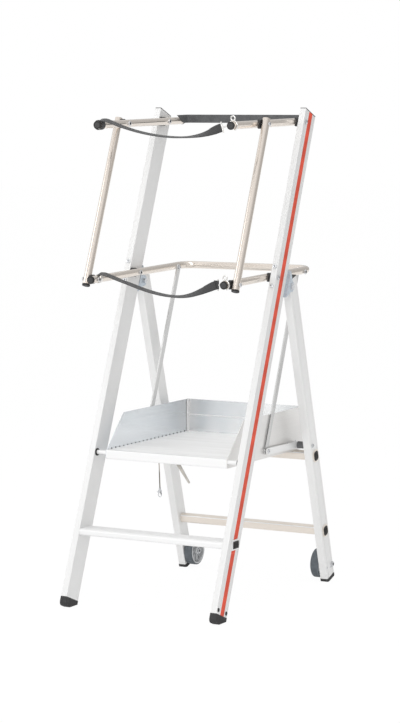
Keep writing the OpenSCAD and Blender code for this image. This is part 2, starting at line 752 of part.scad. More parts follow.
cord_sides = 8;
module hold_cord() color(webbing) sweep([
    for (p = cord_route)
        [for (k = [0 : cord_sides - 1]) p + cord_d / 2 * [cos(360 * k / cord_sides), sin(360 * k / cord_sides), 0]]
]);
// Closed snap hook below a ferrule on the cord's end
cord_hook_r = 5.5;
cord_hook_side = 14;
ferrule_h = 6;
module cord_hook() color(steel) translate(cord_route[len(cord_route) - 1]) rotate([90, 0, 0]) {
    translate([0, -ferrule_h]) rotate([-90, 0, 0]) cylinder(r = cord_d / 2 + cord_hook_wire / 2, h = ferrule_h);
    translate([0, -ferrule_h - cord_hook_r - cord_hook_side / 2])
        for (turn = [0, 180])
            rotate([0, 0, turn]) translate([0, cord_hook_side / 2]) {
                rotate_extrude(angle = 180) translate([cord_hook_r, 0]) circle(cord_hook_wire / 2);
                translate([cord_hook_r, -cord_hook_side]) rotate([-90, 0, 0])
                    cylinder(r = cord_hook_wire / 2, h = cord_hook_side);
            }
}

// Knee rail: one bent tube
module u_tube(r) {
    both_sides() {
        translate([rail_x, -knee_front, 0]) rotate([-90, 0, 0]) cylinder(r = r, h = knee_front + knee_back - knee_bend_r);
        translate([rail_x - knee_bend_r, knee_back - knee_bend_r, 0]) rotate_extrude(angle = 90)
            translate([knee_bend_r, 0]) circle(r);
    }
    translate([-rail_x + knee_bend_r, knee_back, 0]) rotate([0, 90, 0]) cylinder(r = r, h = 2 * (rail_x - knee_bend_r));
}
module rail_bore(r, d) both_sides() translate([rail_inner - cut, r, 0]) rotate([0, 90, 0])
    cylinder(r = d / 2 + run_gap, h = tube_d + 2 * cut);
module knee_rail() color(warm_alu) stand() difference() {
    rail_frame(knee_at) difference() {
        u_tube(tube_r);
        u_tube(tube_r - tube_wall);
        translate([0, -knee_front, 0]) both_sides() translate([rail_x, -cut, 0]) rotate([-90, 0, 0])
            cylinder(r = tube_r - tube_wall, h = 2 * cut);
        rail_bore(0, bolt_d);
        rail_bore(-upright_lead, bolt_d);
    }
    both_sides() cross_bar(strut_top_at, bolt_d / 2 + run_gap, rail_inner - cut, rail_x + tube_r + cut);
}

// A round cap on a tube's end: it faces -Y
module tube_cap(x, y) translate([x, y, 0]) rotate([-90, 0, 0]) {
    translate([0, 0, -tube_cap_t]) cylinder(r = tube_r, h = tube_cap_t);
    cylinder(r = tube_r - tube_wall - hole_gap, h = plug_in / 2);
}
module knee_rail_caps() color(black_plastic) stand() rail_frame(knee_at) both_sides() tube_cap(rail_x, -knee_front);

// A saddle on the outer side of a rail tube, up to the given plane
module saddle(r, x1) difference() {
    translate([rail_x + saddle_from, r, 0]) rotate([0, 90, 0]) cylinder(r = saddle_d / 2, h = x1 - rail_x - saddle_from);
    translate([rail_x, r - saddle_d, 0]) rotate([-90, 0, 0]) cylinder(r = tube_r + hole_gap, h = 2 * saddle_d);
    translate([rail_x, r, 0]) rotate([0, 90, 0]) cylinder(r = bolt_d / 2 + run_gap, h = x1 - rail_x + cut);
}
saddle_stile = stile_in - body_gap;
saddle_upright = upright_x - tube_r - body_gap;
module knee_rail_saddles() color(black_plastic) stand() rail_frame(knee_at) both_sides() {
    saddle(0, saddle_stile);
    saddle(-upright_lead, saddle_upright);
}
module strut_bolt_one() {
    cross_bar(strut_top_at, bolt_d / 2, strut_x - body_gap, rail_x + tube_r);
    cross_bar(strut_top_at, bolt_d * head_d_share / 2, strut_x - body_gap - bolt_d * head_h_share, strut_x - body_gap);
    cross_bar(strut_top_at, bolt_d * head_d_share / 2, rail_x + tube_r, rail_x + tube_r + bolt_d * nut_h_share);
}
module strut_bolts() color(steel) stand() both_sides() strut_bolt_one();

// Hand rail
module hand_tube() stand() rail_frame(hand_at) difference() {
    translate([rail_x, -hand_front, 0]) rotate([-90, 0, 0]) cylinder(r = tube_r, h = hand_front + hand_back);
    translate([rail_x, -hand_front - cut, 0]) rotate([-90, 0, 0])
        cylinder(r = tube_r - tube_wall, h = hand_front + hand_back + 2 * cut);
    rail_bore(0, bolt_d);
    rail_bore(-upright_lead, bolt_d);
}
module hand_rail_right() color(warm_alu) hand_tube();
module hand_rail_left() color(warm_alu) mirror([1, 0, 0]) hand_tube();
module hand_rail_caps() color(black_plastic) stand() rail_frame(hand_at) both_sides() {
    tube_cap(rail_x, -hand_front);
    mirror([0, 1, 0]) tube_cap(rail_x, -hand_back);
}
module hand_rail_saddles() color(black_plastic) stand() rail_frame(hand_at) both_sides() {
    saddle(0, saddle_stile);
    saddle(-upright_lead, saddle_upright);
}
// Back band: along the inner side of each tube, round a bend and across
band_y = hand_back + tube_cap_t + band_r;
module band_half() {
    translate([rail_inner - band_t, hand_back - band_hold]) square([band_t, band_y - band_r - hand_back + band_hold]);
    intersection() {
        translate([rail_inner - band_r, band_y - band_r]) difference() {
            circle(band_r);
            circle(band_r - band_t);
        }
        translate([rail_inner - band_r, band_y - band_r]) square([band_r, band_r]);
    }
    translate([-band_t, band_y - band_t]) square([rail_inner - band_r + band_t, band_t]);
}
module band_end_cut() side_plate(-rail_inner - cut, 2 * (rail_inner + cut)) polygon([
    [hand_back - band_hold - cut, band_h], [hand_back - band_hold - cut, -cut],
    [hand_back - band_hold + band_slant, -cut], [hand_back - band_hold + band_slant, 0],
    [hand_back - band_hold, band_h]
]);
module back_band() color(black_plastic) stand() rail_frame(hand_at) translate([0, 0, band_up - band_h / 2]) difference() {
    linear_extrude(band_h) both_sides() band_half();
    band_end_cut();
}

// Strap fittings: a ring on the left tube, a clip hook over the right tube
hook_r = tube_r + hook_wire / 2 + hole_gap;
knee_hook_reach = 10;
hand_hook_reach = 24;
hand_hook_sag = 6;
hook_bar = strap_w / 2 + hook_wire;
finger_r = 7;
hook_open = 275;
hook_tail = 25;
finger_share = 1;
arm_share = 1.2;
lug_w = 14;
lug_from = 4;
lug_up = 0.3;
module strap_ring() {
    translate([-rail_x, -ring_w / 2, 0]) rotate([-90, 0, 0]) difference() {
        cylinder(r = tube_r + hole_gap + ring_t, h = ring_w);
        translate([0, 0, -cut]) cylinder(r = tube_r + hole_gap, h = ring_w + 2 * cut);
    }
    translate([-rail_x + lug_from, -ring_w / 2, tube_r + hole_gap + lug_up]) cube([lug_w, ring_w, ring_t]);
}
// The clip's arm reaches inwards and hangs down by the sag
module clip_hook(reach, sag) translate([rail_x, 0, 0]) rotate([90, 0, 0]) {
    rotate([0, 0, 180 + hook_tail - hook_open]) rotate_extrude(angle = hook_open)
        translate([hook_r, 0]) circle(hook_wire / 2);
    translate([0, hook_r + finger_r * arm_share]) rotate_extrude()
        translate([finger_r, 0]) circle(hook_wire * finger_share / 2);
    translate([-hook_r, 0]) rotate([0, 0, atan2(sag, reach)]) translate([-norm([reach, sag]), 0]) {
        rotate([0, 90, 0]) cylinder(r = hook_wire * arm_share / 2, h = norm([reach, sag]) + hook_wire / 4);
        translate([0, -hook_bar]) rotate([-90, 0, 0]) cylinder(r = hook_wire / 2, h = 2 * hook_bar);
    }
}
module strap_fittings_lower() color(steel) stand() rail_frame(knee_at) {
    translate([0, -upright_lead + knee_ring_back, 0]) strap_ring();
    translate([0, -knee_front + knee_hook_in, 0]) clip_hook(knee_hook_reach, 0);
}
module strap_fittings_upper() color(steel) stand() rail_frame(hand_at) translate([0, -hand_front + hand_ring_in, 0]) {
    strap_ring();
    clip_hook(hand_hook_reach, hand_hook_sag);
}

// Uprights between the two rails
module upright_place() translate([upright_x, upright_low_at[0], upright_low_at[1]]) rotate([-stile_lean, 0, 0]) children();
module upright_tube() stand() upright_place() difference() {
    translate([0, 0, -upright_over]) cylinder(r = tube_r, h = upright_len + 2 * upright_over);
    translate([0, 0, -upright_over - cut]) cylinder(r = tube_r - tube_wall, h = upright_len + 2 * upright_over + 2 * cut);
    for (z = [0, upright_len])
        translate([-tube_d, 0, z]) rotate([0, 90, 0]) cylinder(r = bolt_d / 2 + hole_gap, h = 2 * tube_d);
}
module upright_right() color(warm_alu) upright_tube();
module upright_left() color(warm_alu) mirror([1, 0, 0]) upright_tube();
module upright_cap_one() upright_place() translate([0, 0, -upright_over]) {
    translate([0, 0, -tube_cap_t]) cylinder(r = tube_r, h = tube_cap_t);
    cylinder(r = tube_r - tube_wall - hole_gap, h = plug_in / 2);
}
module upright_caps() color(black_plastic) stand() both_sides() upright_cap_one();
module upright_bolt_one(at) cross_bolt(at, bolt_d, rail_inner - body_gap, upright_x + tube_r, bolt_d * nut_h_share);
module upright_bolts() color(steel) stand() both_sides() {
    upright_bolt_one(upright_low_at);
    upright_bolt_one(along_rail(hand_at, -upright_lead));
}

// Flat bars with rounded ends, from one bolt to the other
module bar_shape(from, to, w) {
    run = to - from;
    translate(from) rotate([0, 0, atan2(run[1], run[0])]) {
        circle(w / 2);
        translate([norm(run), 0]) circle(w / 2);
        translate([0, -w / 2]) square([norm(run), w]);
    }
}
module strut_one() difference() {
    side_plate(strut_x, strut_t) bar_shape(strut_low_at, strut_top_at, strut_w);
    for (at = [strut_low_at, strut_top_at])
        cross_bar(at, bolt_d / 2 + run_gap, strut_x - cut, strut_x + strut_t + cut);
}
module strut_right() color(warm_alu) stand() strut_one();
module strut_left() color(warm_alu) stand() mirror([1, 0, 0]) strut_one();

// The link turns on the leg's bolt and meets the platform's stud head face to face
module link_one() difference() {
    side_plate(link_x, link_t) bar_shape(strut_low_at, link_leg_at, link_w);
    cross_bar(link_leg_at, bolt_d / 2 + run_gap, link_x - cut, link_x + link_t + cut);
}
module link_right() color(white_alu) stand() link_one();
module link_left() color(white_alu) stand() mirror([1, 0, 0]) link_one();

// Rear frame
leg_line_t = 0.7;
leg_line_w = 4;
leg_line_at_shares = [0.2, 0.8];
module leg_section() difference() {
    soft_rect(leg_w, leg_d, stile_edge_r);
    translate([leg_wall, leg_wall]) square([leg_w - 2 * leg_wall, leg_d - 2 * leg_wall]);
    for (share = leg_line_at_shares)
        translate([leg_w - leg_line_t, leg_d * share - leg_line_w / 2]) square([leg_line_t + cut, leg_line_w]);
}
module bar_section(grow) translate([-crossbar_d / 2 - grow, -crossbar_h / 2 - grow])
    soft_rect(crossbar_d + 2 * grow, crossbar_h + 2 * grow, crossbar_r + grow);
module leg_one() difference() {
    leg_frame() difference() {
        translate([leg_in, -leg_pin_in, leg_low]) linear_extrude(leg_head - leg_low) leg_section();
        for (h = [bar_low_h, bar_high_h])
            side_plate(leg_in - cut, leg_w + 2 * cut) translate([bar_a, h]) bar_section(hole_gap);
    }
    cross_bar(hinge_at, hinge_bolt_d / 2 + run_gap, leg_in - cut, leg_out + cut);
    cross_bar(axle_at, axle_d / 2 + hole_gap, leg_in - cut, leg_out + cut);
    cross_bar(link_leg_at, bolt_d / 2 + hole_gap, leg_in - cut, leg_out + cut);
}
module rear_leg_right() color(white_alu) stand() leg_one();
module rear_leg_left() color(white_alu) stand() mirror([1, 0, 0]) leg_one();

leg_cap_t = 3;
module leg_cap_one() leg_frame() translate([leg_in, -leg_pin_in, leg_head]) {
    linear_extrude(leg_cap_t) soft_rect(leg_w, leg_d, stile_edge_r);
    translate([0, 0, -plug_in / 2]) box_plug(leg_w, leg_d, leg_wall, plug_in / 2);
}
module rear_leg_caps() color(black_plastic) stand() both_sides() leg_cap_one();
rear_sole_r = 5;
module rear_foot_one() difference() {
    leg_frame() {
        side_plate(leg_in, leg_w) translate([-leg_pin_in, leg_low - rear_sole]) {
            soft_rect(leg_d, rear_sole, rear_sole_r);
            translate([0, rear_sole_r]) square([leg_d, rear_sole - rear_sole_r]);
        }
        translate([leg_in, -leg_pin_in, leg_low]) box_plug(leg_w, leg_d, leg_wall, plug_in);
    }
    floor_cut();
}
module rear_feet() color(black_plastic) stand() both_sides() rear_foot_one();

module crossbar(h) leg_frame() {
    difference() {
        union() {
            side_plate(-leg_out, 2 * leg_out) translate([bar_a, h]) bar_section(0);
            both_sides() side_plate(leg_out, flare_t) translate([bar_a, h]) bar_section(flare_w);
        }
        side_plate(-leg_out - flare_t - cut, 2 * (leg_out + flare_t + cut)) translate([bar_a, h]) bar_section(-crossbar_wall);
    }
}
module rear_crossbar_lower() color(warm_alu) stand() crossbar(bar_low_h);
module rear_crossbar_upper() color(warm_alu) stand() crossbar(bar_high_h);
module crossbar_plug_one(h) leg_frame() translate([0, bar_a, h]) {
    side_plate(leg_out - plug_in, plug_in + flare_t) bar_section(-crossbar_wall - hole_gap);
    side_plate(leg_out + flare_t, flare_t / 2) bar_section(-crossbar_wall + flare_w / 2);
}
module crossbar_plugs() color(black_plastic) stand() both_sides() {
    crossbar_plug_one(bar_low_h);
    crossbar_plug_one(bar_high_h);
}

// The link's spacer stands on the leg, and its bolt carries the link
module spacer_one() difference() {
    cross_bar(link_leg_at, spacer_d / 2, spacer_x, leg_in);
    cross_bar(link_leg_at, bolt_d / 2 + hole_gap, spacer_x - cut, leg_in + cut);
}
module link_spacers() color(black_plastic) stand() both_sides() spacer_one();
module link_bolt_one() cross_bolt(link_leg_at, bolt_d, link_x - body_gap, leg_out, bolt_d * nut_h_share);
module link_bolts() color(steel) stand() both_sides() link_bolt_one();

// Wheels
module axle_one() cross_bolt(axle_at, axle_d, wheel_x - body_gap, leg_out, axle_d * nut_h_share);
module wheel_axles() color(steel) stand() both_sides() axle_one();
rim_r = wheel_d / 2 - tyre_t;
rim_t = 3;
disc_t = 6;
tyre_edge = 2.5;
module wheel_turn() stand() translate([wheel_x, axle_at[0], axle_at[1]]) rotate([0, 90, 0]) rotate_extrude() children();
module tyre_one() wheel_turn() difference() {
    translate([rim_r - tyre_edge, 0]) soft_rect(tyre_t + tyre_edge, wheel_w, tyre_edge);
    translate([rim_r - tyre_edge - cut, -cut]) square([tyre_edge + cut, wheel_w + 2 * cut]);
}
module hub_one() wheel_turn() {
    translate([rim_r - rim_t, 0]) square([rim_t, wheel_w]);
    translate([axle_d / 2 + run_gap, (wheel_w - disc_t) / 2]) square([rim_r - axle_d / 2 - run_gap, disc_t]);
    translate([axle_d / 2 + run_gap, 0]) square([(boss_d - axle_d) / 2 - run_gap, wheel_w]);
}
module tyre_right() color(rubber_grey) tyre_one();
module tyre_left() color(rubber_grey) mirror([1, 0, 0]) tyre_one();
module hub_right() color(grey_plastic) hub_one();
module hub_left() color(grey_plastic) mirror([1, 0, 0]) hub_one();

front_stile_left();
front_stile_right();
stile_stripes();
stile_top_caps();
front_feet();
tread();
tread_plugs();
hinge_brackets();
hinge_bolts();
bracket_bolts();
platform_bushes();
rail_pivot_bolts();
platform_deck();
platform_front_profile();
platform_pivot_pins();
toe_board_left();
toe_board_right();
toe_board_rear();
platform_studs();
underdeck_brackets();
hold_cord();
cord_hook();
release_lever();
knee_rail();
knee_rail_caps();
knee_rail_saddles();
strut_bolts();
strap_lower();
strap_fittings_lower();
hand_rail_left();
hand_rail_right();
hand_rail_caps();
hand_rail_saddles();
back_band();
strap_upper();
strap_fittings_upper();
upright_left();
upright_right();
upright_caps();
upright_bolts();
strut_left();
strut_right();
link_left();
link_right();
rear_leg_left();
rear_leg_right();
rear_leg_caps();
rear_feet();
rear_crossbar_lower();
rear_crossbar_upper();
crossbar_plugs();
wheel_axles();
link_spacers();
link_bolts();
tyre_left();
hub_left();
tyre_right();
hub_right();
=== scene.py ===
# %% [markdown]
# # A folding podium step
# The step is a leaning aluminium front frame with one tread, a railed work platform and a wheeled
# rear frame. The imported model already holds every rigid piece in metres, so this lesson only adds
# what a solid model leaves out: webbing, cord, bolt heads, drain holes, finishes, light and camera.

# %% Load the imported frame
import json
import math

import bmesh
import bpy
from mathutils import Matrix, Vector


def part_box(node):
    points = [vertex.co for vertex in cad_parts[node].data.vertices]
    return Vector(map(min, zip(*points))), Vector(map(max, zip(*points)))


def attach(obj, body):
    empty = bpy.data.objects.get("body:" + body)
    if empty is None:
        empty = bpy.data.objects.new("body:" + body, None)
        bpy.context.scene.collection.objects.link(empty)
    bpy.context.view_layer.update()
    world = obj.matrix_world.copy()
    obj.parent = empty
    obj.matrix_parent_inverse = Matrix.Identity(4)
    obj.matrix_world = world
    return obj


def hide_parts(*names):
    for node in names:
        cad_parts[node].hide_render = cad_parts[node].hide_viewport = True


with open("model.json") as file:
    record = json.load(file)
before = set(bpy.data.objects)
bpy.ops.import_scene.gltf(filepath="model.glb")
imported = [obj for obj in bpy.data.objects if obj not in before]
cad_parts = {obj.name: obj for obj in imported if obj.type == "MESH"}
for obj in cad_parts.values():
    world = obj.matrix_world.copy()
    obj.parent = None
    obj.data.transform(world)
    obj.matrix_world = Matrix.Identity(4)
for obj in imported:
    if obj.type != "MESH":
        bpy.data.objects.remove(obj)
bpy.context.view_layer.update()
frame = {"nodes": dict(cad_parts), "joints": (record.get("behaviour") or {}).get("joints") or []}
pivot = {joint["name"]: Vector(joint["pos_m"]) for joint in frame["joints"]}
MM = 0.001

# %% [markdown]
# ## Camera
# A long lens from the front right, a little above the tread. The view could be framed by eye, but the
# straight edges of such a frame fix it well, so the angles, the aim and the distance are written as
# solved values. A very small roll is kept, because a tripod is never quite level.

# %% Camera
AZIMUTH, ELEVATION, ROLL = (math.radians(angle) for angle in (27.72, 5.69, 0.34))
AIM = Vector((0.0565, -0.1359, 0.7956))
DISTANCE = 7.6146
LENS_MM, SENSOR_MM = 116.0, 36.0

back = Vector((math.sin(AZIMUTH) * math.cos(ELEVATION),
               -math.cos(AZIMUTH) * math.cos(ELEVATION), math.sin(ELEVATION)))
level = (-back).cross(Vector((0, 0, 1))).normalized()
above = level.cross(-back)
across = level * math.cos(ROLL) + above * math.sin(ROLL)
upward = above * math.cos(ROLL) - level * math.sin(ROLL)

lens = bpy.data.cameras.new("studio_camera")
lens.lens, lens.sensor_width = LENS_MM, SENSOR_MM
camera = bpy.data.objects.new("studio_camera", lens)
camera.matrix_world = Matrix.Translation(AIM + back * DISTANCE) @ Matrix((across, upward, back)).transposed().to_4x4()
bpy.context.scene.collection.objects.link(camera)
bpy.context.scene.camera = camera
print("camera at", [round(c, 3) for c in camera.matrix_world.translation])

# %% [markdown]
# ## Floor, world and lamps
# A catalogue picture has a white ground that runs into a white wall. Light Path lets the camera, and
# metal that mirrors the room, see plain white, while the object itself is lit at a moderate level.
# What bare metal mirrors is not white all round: the room's far right is dimmer, as a wall away from
# the lamps is, and the low end behind the camera is dark. Tubes look round and boxed corners look deep
# through that. The floor is mostly a glowing white with some matt surface, so a soft shadow stays.

# %% World
world = bpy.data.worlds.new("studio")
bpy.context.scene.world = world
world.use_nodes = True
bpy.context.scene.view_settings.view_transform = "Standard"


def seen_directly(tree):
    """1 where a ray comes from the camera, a mirror-like surface or glass."""
    path = tree.nodes.new("ShaderNodeLightPath")
    total = None
    for kind in ("Is Camera Ray", "Is Glossy Ray", "Is Transmission Ray"):
        if total is None:
            total = path.outputs[kind]
            continue
        add = tree.nodes.new("ShaderNodeMath")
        add.operation = "ADD"
        add.use_clamp = True
        tree.links.new(total, add.inputs[0])
        tree.links.new(path.outputs[kind], add.inputs[1])
        total = add.outputs[0]
    return total


def wall_tone(tree, way, toward, ends, tones):
    """Strength that changes softly round a direction: ends are cosines, tones the strengths there."""
    aligned = tree.nodes.new("ShaderNodeVectorMath")
    aligned.operation = "DOT_PRODUCT"
    aligned.inputs[1].default_value = Vector(toward).normalized()
    tree.links.new(way, aligned.inputs[0])
    tone = tree.nodes.new("ShaderNodeMapRange")
    tone.interpolation_type = "SMOOTHSTEP"
    for socket, number in zip(("From Min", "From Max", "To Min", "To Max"), (*ends, *tones)):
        tone.inputs[socket].default_value = number
    tree.links.new(aligned.outputs["Value"], tone.inputs["Value"])
    return tone.outputs["Result"]


ROOM_LIGHT, DIM_SIDE, DARK_END = 0.76, 0.5, 0.78
BRIGHT_WAY, DARK_WAY = (-0.62, -0.72, 0.3), (0.5, -0.86, -0.1)
tree = world.node_tree
sky = tree.nodes["Background"]
sky.inputs["Color"].default_value = (1, 1, 1, 1)
way = tree.nodes.new("ShaderNodeTexCoord").outputs["Generated"]
walls = tree.nodes.new("ShaderNodeMath")
walls.operation = "MULTIPLY"
tree.links.new(wall_tone(tree, way, BRIGHT_WAY, (-0.75, 0.45), (DIM_SIDE, 1.0)), walls.inputs[0])
tree.links.new(wall_tone(tree, way, DARK_WAY, (0.8, 0.95), (1.0, DARK_END)), walls.inputs[1])
path = tree.nodes.new("ShaderNodeLightPath")
mirrored = tree.nodes.new("ShaderNodeMix")
tree.links.new(path.outputs["Is Glossy Ray"], mirrored.inputs["Factor"])
mirrored.inputs["A"].default_value = 1.0
tree.links.new(walls.outputs[0], mirrored.inputs["B"])
strength = tree.nodes.new("ShaderNodeMix")
strength.inputs["A"].default_value = ROOM_LIGHT
tree.links.new(seen_directly(tree), strength.inputs["Factor"])
tree.links.new(mirrored.outputs["Result"], strength.inputs["B"])
tree.links.new(strength.outputs["Result"], sky.inputs["Strength"])
print("room light", ROOM_LIGHT, "dim side", DIM_SIDE, "dark end", DARK_END)

# %% Floor
FLOOR_HALF, FLOOR_FRONT, FLOOR_DROP = 30.0, 2.6, 0.0005
floor_bm = bmesh.new()
bmesh.ops.create_grid(floor_bm, x_segments=1, y_segments=1, size=FLOOR_HALF)
bmesh.ops.translate(floor_bm, verts=floor_bm.verts, vec=(0, FLOOR_HALF - FLOOR_FRONT, -FLOOR_DROP))
floor_mesh = bpy.data.meshes.new("studio_floor")
floor_bm.to_mesh(floor_mesh)
floor_bm.free()
floor = bpy.data.objects.new("studio_floor", floor_mesh)
bpy.context.scene.collection.objects.link(floor)

GLOW_SHARE, GLOW = 0.95, 1.012
floor_paint = bpy.data.materials.new("floor_paint")
floor_paint.use_nodes = True
tree = floor_paint.node_tree
matt = tree.nodes["Principled BSDF"]
matt.inputs["Base Color"].default_value = (0.95, 0.95, 0.95, 1)
matt.inputs["Roughness"].default_value = 1.0
matt.inputs["Specular IOR Level"].default_value = 0.0
glow = tree.nodes.new("ShaderNodeEmission")
glow.inputs["Strength"].default_value = GLOW
share = tree.nodes.new("ShaderNodeMath")
share.operation = "MULTIPLY"
share.inputs[1].default_value = GLOW_SHARE
tree.links.new(seen_directly(tree), share.inputs[0])
mix = tree.nodes.new("ShaderNodeMixShader")
tree.links.new(share.outputs[0], mix.inputs["Fac"])
tree.links.new(matt.outputs[0], mix.inputs[1])
tree.links.new(glow.outputs[0], mix.inputs[2])
tree.links.new(mix.outputs[0], tree.nodes["Material Output"].inputs["Surface"])
floor_mesh.materials.append(floor_paint)
print("floor", 2 * FLOOR_HALF, "m square")


# %% Lamps
def soft_lamp(name, place, aim, size, watts):
    data = bpy.data.lights.new(name, "AREA")
    data.shape, data.size, data.energy = "DISK", size, watts
    lamp = bpy.data.objects.new(name, data)
    toward = (Vector(aim) - Vector(place)).to_track_quat("-Z", "Y")
    lamp.matrix_world = Matrix.Translation(place) @ toward.to_matrix().to_4x4()
    bpy.context.scene.collection.objects.link(lamp)
    return lamp


key = soft_lamp("key_lamp", (1.0, -5.2, 3.0), (0, 0, 1.3), 2.6, 66)
fill = soft_lamp("fill_lamp", (-3.4, -2.4, 2.6), (0, 0, 0.8), 2.0, 20)
top = soft_lamp("top_lamp", (0.2, -1.2, 4.6), (0, -0.1, 0.6), 2.4, 24)
print("lamps", key.name, fill.name, top.name)

# %% [markdown]
# ## Finishes
# Drawn and rolled aluminium is not one flat grey. Fine lines run the way the metal left the die, and
# soft clouds change its brightness over a hand's width. Image textures could show that, but noise
# stretched along the piece gives it at any size. Every finish below reads Object coordinates, so the
# pattern is in metres and stays with the piece.


# %% Finish helpers
def new_finish(name, metallic=0.0, rough=0.5):
    made = bpy.data.materials.new(name)
    made.use_nodes = True
    shader = made.node_tree.nodes["Principled BSDF"]
    shader.inputs["Metallic"].default_value = metallic
    shader.inputs["Roughness"].default_value = rough
    return made, made.node_tree, shader


def object_grain(tree, size, turn=(0, 0, 0)):
    """Object coordinates, turned to the piece and measured in grains of this size."""
    where = tree.nodes.new("ShaderNodeTexCoord")
    mapped = tree.nodes.new("ShaderNodeMapping")
    mapped.vector_type = "TEXTURE"
    mapped.inputs["Rotation"].default_value = turn
    mapped.inputs["Scale"].default_value = size
    tree.links.new(where.outputs["Object"], mapped.inputs["Vector"])
    return mapped.outputs["Vector"]


def speckle(tree, vector, detail=3.0):
    made = tree.nodes.new("ShaderNodeTexNoise")
    made.inputs["Scale"].default_value = 1.0
    made.inputs["Detail"].default_value = detail
    tree.links.new(vector, made.inputs["Vector"])
    return made.outputs["Fac"]


def spread(tree, value, low, high):
    """Takes the middle of a noise to a range of numbers."""
    made = tree.nodes.new("ShaderNodeMapRange")
    for socket, number in (("From Min", 0.3), ("From Max", 0.7), ("To Min", low), ("To Max", high)):
        made.inputs[socket].default_value = number
    tree.links.new(value, made.inputs["Value"])
    return made.outputs["Result"]


def shades(tree, value, dark, light):
    made = tree.nodes.new("ShaderNodeValToRGB")
    made.color_ramp.elements[0].position, made.color_ramp.elements[1].position = 0.3, 0.7
    made.color_ramp.elements[0].color = (*dark, 1)
    made.color_ramp.elements[1].color = (*light, 1)
    tree.links.new(value, made.inputs["Fac"])
    return made.outputs["Color"]


def relief(tree, shader, height, strength, depth):
    made = tree.nodes.new("ShaderNodeBump")
    made.inputs["Strength"].default_value = strength
    made.inputs["Distance"].default_value = depth
    tree.links.new(height, made.inputs["Height"])
    tree.links.new(made.outputs["Normal"], shader.inputs["Normal"])


def scaled(colour, factor):
    return tuple(min(1.0, c * factor) for c in colour)


# %% Metal finishes
def painted_corner_shade(tree, colour, axis, both_ways, start, end, tone):
    """Painted corner shade: multiplies a colour by 1 at start and by tone at end, measured along one axis."""
    where = tree.nodes.new("ShaderNodeTexCoord")
    parts = tree.nodes.new("ShaderNodeSeparateXYZ")
    tree.links.new(where.outputs["Object"], parts.inputs["Vector"])
    place = parts.outputs[axis]
    if both_ways:
        size = tree.nodes.new("ShaderNodeMath")
        size.operation = "ABSOLUTE"
        tree.links.new(place, size.inputs[0])
        place = size.outputs[0]
    fade = tree.nodes.new("ShaderNodeMapRange")
    fade.interpolation_type = "SMOOTHSTEP"
    for socket, number in zip(("From Min", "From Max", "To Min", "To Max"), (start, end, 1.0, tone)):
        fade.inputs[socket].default_value = number
    tree.links.new(place, fade.inputs["Value"])
    made = tree.nodes.new("ShaderNodeVectorMath")
    made.operation = "SCALE"
    tree.links.new(colour, made.inputs[0])
    tree.links.new(fade.outputs["Result"], made.inputs["Scale"])
    return made.outputs["Vector"]


def drawn_metal(name, colour, metallic, rough, turn, cloud=0.03, line=0.02, streak=0.12, cloud_turn=None,
                corner=None, bump=0.04):
    """Aluminium with lines along the local Z that turn gives, and clouds as wide as streak.
    corner = (axis, both ways, from, to, tone) darkens a sheet towards its folded corner, painted shade where the
    corner is enclosed.
    A polished tube has no line and no bump, and its shine then follows the clouds."""
    made, tree, shader = new_finish(name, metallic)
    lines = speckle(tree, object_grain(tree, (0.0011, 0.0011, 0.35), turn))
    clouds = speckle(tree, object_grain(tree, (streak, streak, 0.5), cloud_turn or turn), 1.0)
    soft = shades(tree, clouds, scaled(colour, 1 - cloud), scaled(colour, 1 + cloud))
    drawn = tree.nodes.new("ShaderNodeMix")
    drawn.data_type, drawn.blend_type = "RGBA", "MULTIPLY"
    drawn.inputs["Factor"].default_value = 1.0
    tree.links.new(soft, drawn.inputs["A"])
    tree.links.new(shades(tree, lines, (1 - line,) * 3, (1, 1, 1)), drawn.inputs["B"])
    tone = drawn.outputs["Result"]
    if corner:
        tone = painted_corner_shade(tree, tone, *corner)
    tree.links.new(tone, shader.inputs["Base Color"])
    tree.links.new(spread(tree, lines if bump else clouds, rough - 0.05, rough + 0.07), shader.inputs["Roughness"])
    if bump:
        relief(tree, shader, lines, bump, 0.0002)
    return made


STILE_LEAN, LEG_LEAN, RAIL_TILT = (math.radians(angle) for angle in (21.5, 17.5, 1.8))
ALONG_STILE, ALONG_LEG = (-STILE_LEAN, 0, 0), (LEG_LEAN, 0, 0)
ALONG_X, ALONG_Y, ALONG_Z = (0, math.radians(90), 0), (math.radians(-90), 0, 0), (0, 0, 0)
stile_metal = drawn_metal("stile_metal", (0.8, 0.8, 0.797), 0.22, 0.42, ALONG_STILE)
leg_metal = drawn_metal("leg_metal", (0.86, 0.86, 0.855), 0.22, 0.4, ALONG_LEG)
tread_metal = drawn_metal("tread_metal", (0.89, 0.89, 0.89), 0.2, 0.36, ALONG_X)
profile_metal = drawn_metal("profile_metal", (0.91, 0.91, 0.91), 0.15, 0.34, ALONG_X, 0.015)
link_metal = drawn_metal("link_metal", (0.92, 0.92, 0.915), 0.3, 0.36, ALONG_Y)
deck_metal = drawn_metal("deck_metal", (0.96, 0.96, 0.955), 0.08, 0.42, ALONG_X, 0.05, 0.05, 0.02)
rail_metal = drawn_metal("rail_metal", (0.78, 0.715, 0.65), 0.8, 0.15, ALONG_Y, 0.03, 0, bump=0)
upright_metal = drawn_metal("upright_metal", (0.72, 0.655, 0.595), 0.8, 0.15, ALONG_STILE, 0.03, 0, bump=0)
crossbar_metal = drawn_metal("crossbar_metal", (0.81, 0.745, 0.675), 0.5, 0.28, ALONG_X, 0.03, 0, bump=0)
strut_metal = drawn_metal("strut_metal", (0.63, 0.63, 0.625), 0.65, 0.3, ALONG_STILE, 0.04)
# The corner ramps below are painted shade: the left board darkens towards its rear, and the rear board towards both
# rear corners, where the tray is enclosed.
board_metal = drawn_metal("board_metal", (0.88, 0.91, 0.94), 0.88, 0.2, ALONG_Y, 0.04, 0.06,
                          corner=("Y", False, -0.12, 0.32, 0.8), bump=0.05)
# The right board is the same sheet metal as the left one; its warmer tone is painted warm light from the right.
warm_lit_board_metal = drawn_metal("warm_lit_board_metal", (0.86, 0.85, 0.835), 0.6, 0.34, ALONG_Y, 0.04, 0.06)
